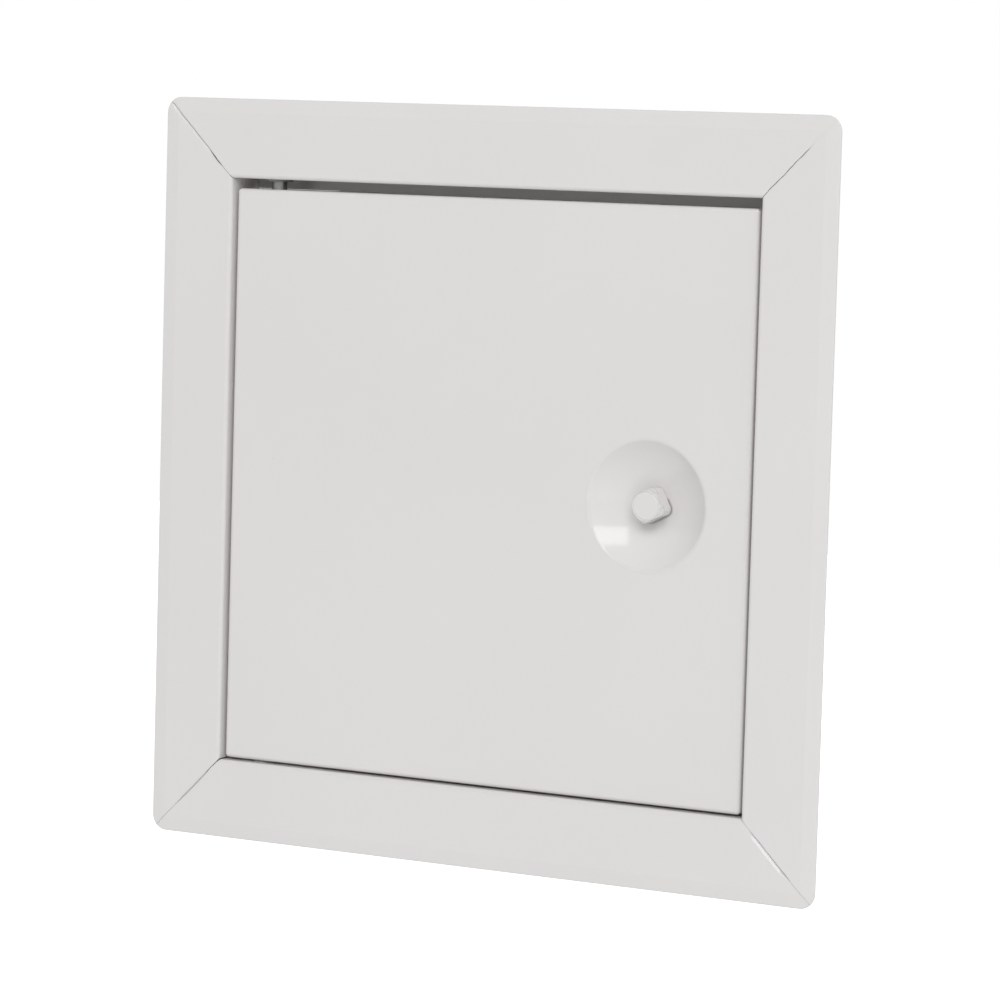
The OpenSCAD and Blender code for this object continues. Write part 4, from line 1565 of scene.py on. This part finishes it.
@dataclass
class Lock:
    """The square-key lock: spindle, stop washer, cam, washers and nut."""

    spindle: LockSpindle = field(default_factory=LockSpindle)
    cam: LockCam = field(default_factory=LockCam)
    nut: HexNut = field(default_factory=HexNut)
    crease: float = 50.0

    def build(self, nodes: dict[str, bpy.types.Object]) -> None:
        """Builds the spindle, the cam, the washers and the nut, and coats the stop washer.

        Args:
            nodes: CAD objects by name.
        """
        piece = add_piece("painted_spindle", self.spindle.surface(), self.crease)
        dress(piece, Body.LOCK, ["lock_spindle"], Finish.WORN_PAINT)
        coat_nodes(nodes, ["stop_washer"], Finish.ZINC)
        washer = lathe_skin(Spin.LOCK, [(3.05, 19.8), (6.0, 19.8), (6.0, 21.4), (3.05, 21.4)], 0.35, False)
        spring = lathe_skin(Spin.LOCK, [(3.05, 21.9), (5.5, 21.4), (5.5, 22.1), (3.05, 22.6)], 0.15, False)
        fittings = {"lock_cam": self.cam.surface(), "cam_washer": washer, "cam_nut": self.nut.surface()}
        for name, skin in fittings.items():
            dress(add_piece("plated_" + name, skin), Body.LOCK, [name], Finish.ZINC)
        piece = add_piece("blued_spring_washer", spring)
        dress(piece, Body.LOCK, ["spring_washer"], Finish.SPRING)


# Studio


@dataclass
class Studio:
    """Camera, softbox, soft light from the front, both sides and behind, and a pale floor."""

    eye: Triple = (0.694378, -1.240391, 0.123519)
    right: Triple = (0.87310365, 0.48670472, 0.02843474)
    down: Triple = (0.06800889, -0.06383344, -0.99564054)
    forward: Triple = (-0.48276786, 0.87123121, -0.08883346)
    lens: float = 157.259
    sensor: float = 36.0
    surround: float = 0.22
    side_glow: float = 0.66
    back_glow: float = 1.1
    wide_power: float = 3.0
    cool: Triple = (0.972, 1.0, 1.025)
    front_glow: float = 0.72
    front_way: Triple = (0.24, -0.8, 0.5)
    front_power: float = 4.0
    softbox_way: Triple = (0.338, -0.775, 0.518)
    softbox_distance: float = 3.2
    softbox_size: tuple[float, float] = (2.2, 1.12)
    softbox_power: float = 42.0
    floor_height: float = -0.45
    floor_span: float = 4.0
    floor_points: int = 9
    floor_tone: float = 0.73
    floor_glow: float = 0.133
    floor_seen: float = 0.75

    def camera(self) -> None:
        """Sets the camera at the photograph's place: its axes are right, up and backwards."""
        data = bpy.data.cameras.new("view")
        data.sensor_width = self.sensor
        data.lens = self.lens
        camera = bpy.data.objects.new("view", data)
        up, back = -Vector(self.down), -Vector(self.forward)
        axes = Matrix([self.right, up, back]).transposed()
        camera.matrix_world = Matrix.Translation(self.eye) @ axes.to_4x4()
        bpy.context.scene.collection.objects.link(camera)
        bpy.context.scene.camera = camera

    def light(self) -> None:
        """Sets the softbox along the way that the dish mirrors it, facing the lock."""
        data = bpy.data.lights.new("softbox", "AREA")
        data.shape = "RECTANGLE"
        data.size, data.size_y = self.softbox_size
        data.energy = self.softbox_power
        lamp = bpy.data.objects.new("softbox", data)
        way = Vector(self.softbox_way).normalized()
        lamp.location = Vector((LOCK_X, DOOR_Y, LOCK_Z)) * MM + way * self.softbox_distance
        lamp.rotation_euler = (-way).to_track_quat("-Z", "Y").to_euler()
        bpy.context.scene.collection.objects.link(lamp)

    @staticmethod
    def seen(sheet: ShaderSheet) -> Socket:
        """1 for rays that show the background: straight, mirrored or passed through."""
        path = sheet.node("ShaderNodeLightPath")
        straight = sheet.maths("MAXIMUM", path.outputs["Is Camera Ray"], path.outputs["Is Glossy Ray"])
        return sheet.maths("MAXIMUM", straight, path.outputs["Is Transmission Ray"])

    @staticmethod
    def falloff(sheet: ShaderSheet, share: Socket, power: float,
                glow: float) -> Socket:
        """Light by a power of a share of the direction, times its glow, and none for a share below 0."""
        held = sheet.maths("MAXIMUM", share, 0.0)
        return sheet.maths("MULTIPLY", sheet.maths("POWER", held, power), glow)

    def world(self) -> None:
        """Sets a soft light from all round, with plain white behind the object.

        A cool light is even, with more from both sides by a power of the share of X in its direction, and
        more from behind by a power of the share of Y. A white one comes from the front, by a power of the
        cosine to the front's way.
        """
        world = bpy.data.worlds.new("surround")
        world.use_nodes = True
        sheet = ShaderSheet(world.node_tree)
        way = sheet.node("ShaderNodeTexCoord").outputs["Generated"]
        towards = sheet.node("ShaderNodeVectorMath", operation="DOT_PRODUCT")
        towards.inputs[1].default_value = Vector(self.front_way).normalized()
        sheet.wire(way, towards.inputs[0])
        axes = sheet.node("ShaderNodeSeparateXYZ")
        sheet.wire(way, axes.inputs[0])
        across = axes.outputs["X"]
        sideways = sheet.maths("MAXIMUM", across, sheet.maths("MULTIPLY", across, -1.0))
        sides = self.falloff(sheet, sideways, self.wide_power, self.side_glow)
        behind = self.falloff(sheet, axes.outputs["Y"], self.wide_power, self.back_glow)
        wide = sheet.maths("ADD", sheet.maths("ADD", sides, behind), self.surround)
        around = sheet.node("ShaderNodeBackground", {"Color": (*self.cool, 1.0)})
        sheet.wire(wide, around.inputs["Strength"])
        front = sheet.node("ShaderNodeBackground", {"Color": WHITE})
        lobe = self.falloff(sheet, towards.outputs["Value"], self.front_power, self.front_glow)
        sheet.wire(lobe, front.inputs["Strength"])
        white = sheet.node("ShaderNodeBackground", {"Color": WHITE, "Strength": 1.0})
        choice = sheet.node("ShaderNodeMixShader")
        output = sheet.node("ShaderNodeOutputWorld")
        sheet.wire(self.seen(sheet), choice.inputs[0])
        sheet.wire(sheet.added(around, front), choice.inputs[1])
        sheet.wire(white.outputs[0], choice.inputs[2])
        sheet.wire(choice.outputs[0], output.inputs["Surface"])
        bpy.context.scene.world = world

    def floor(self) -> None:
        """Lays a pale floor below the panel, white where it is lit and greyer in the panel's shadow."""
        count = self.floor_points
        share = np.linspace(-self.floor_span, self.floor_span, count)
        x, y = np.meshgrid(share, share, indexing="ij")
        points = np.stack([x, y, np.full_like(x, self.floor_height)], axis=-1).reshape(-1, 3)
        mesh = bpy.data.meshes.new("floor")
        mesh.from_pydata(points.tolist(), [], grid_quads(count, count, False, False).tolist())
        floor = bpy.data.objects.new("floor", mesh)
        bpy.context.scene.collection.objects.link(floor)
        material = bpy.data.materials.new("pale_floor")
        material.use_nodes = True
        sheet = ShaderSheet(material.node_tree)
        tone = self.floor_tone
        diffuse = sheet.node("ShaderNodeBsdfDiffuse", {"Color": (tone, tone, tone, 1.0)})
        glow = sheet.node("ShaderNodeEmission", {"Color": WHITE})
        output = sheet.node("ShaderNodeOutputMaterial")
        seen_glow = sheet.maths("MULTIPLY", self.seen(sheet), self.floor_seen)
        sheet.wire(sheet.maths("ADD", seen_glow, self.floor_glow), glow.inputs["Strength"])
        sheet.wire(sheet.added(diffuse, glow), output.inputs["Surface"])
        mesh.materials.append(material)

    def build(self) -> None:
        """Sets up the camera, the light, the background and plain colour output."""
        self.camera()
        self.light()
        self.world()
        self.floor()
        bpy.context.scene.view_settings.view_transform = "Standard"


def main() -> None:
    """Loads the CAD frame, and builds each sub-assembly and the studio."""
    logging.basicConfig(level=logging.INFO, format="%(message)s")
    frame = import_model()
    for make_group in (paint_film_group, specks_group, metal_grain_group, spangle_group):
        make_group()
    Studio().build()
    Frame().build(frame["nodes"])
    Door().build(frame["nodes"])
    Lock().build(frame["nodes"])


if __name__ == "__main__":
    main()
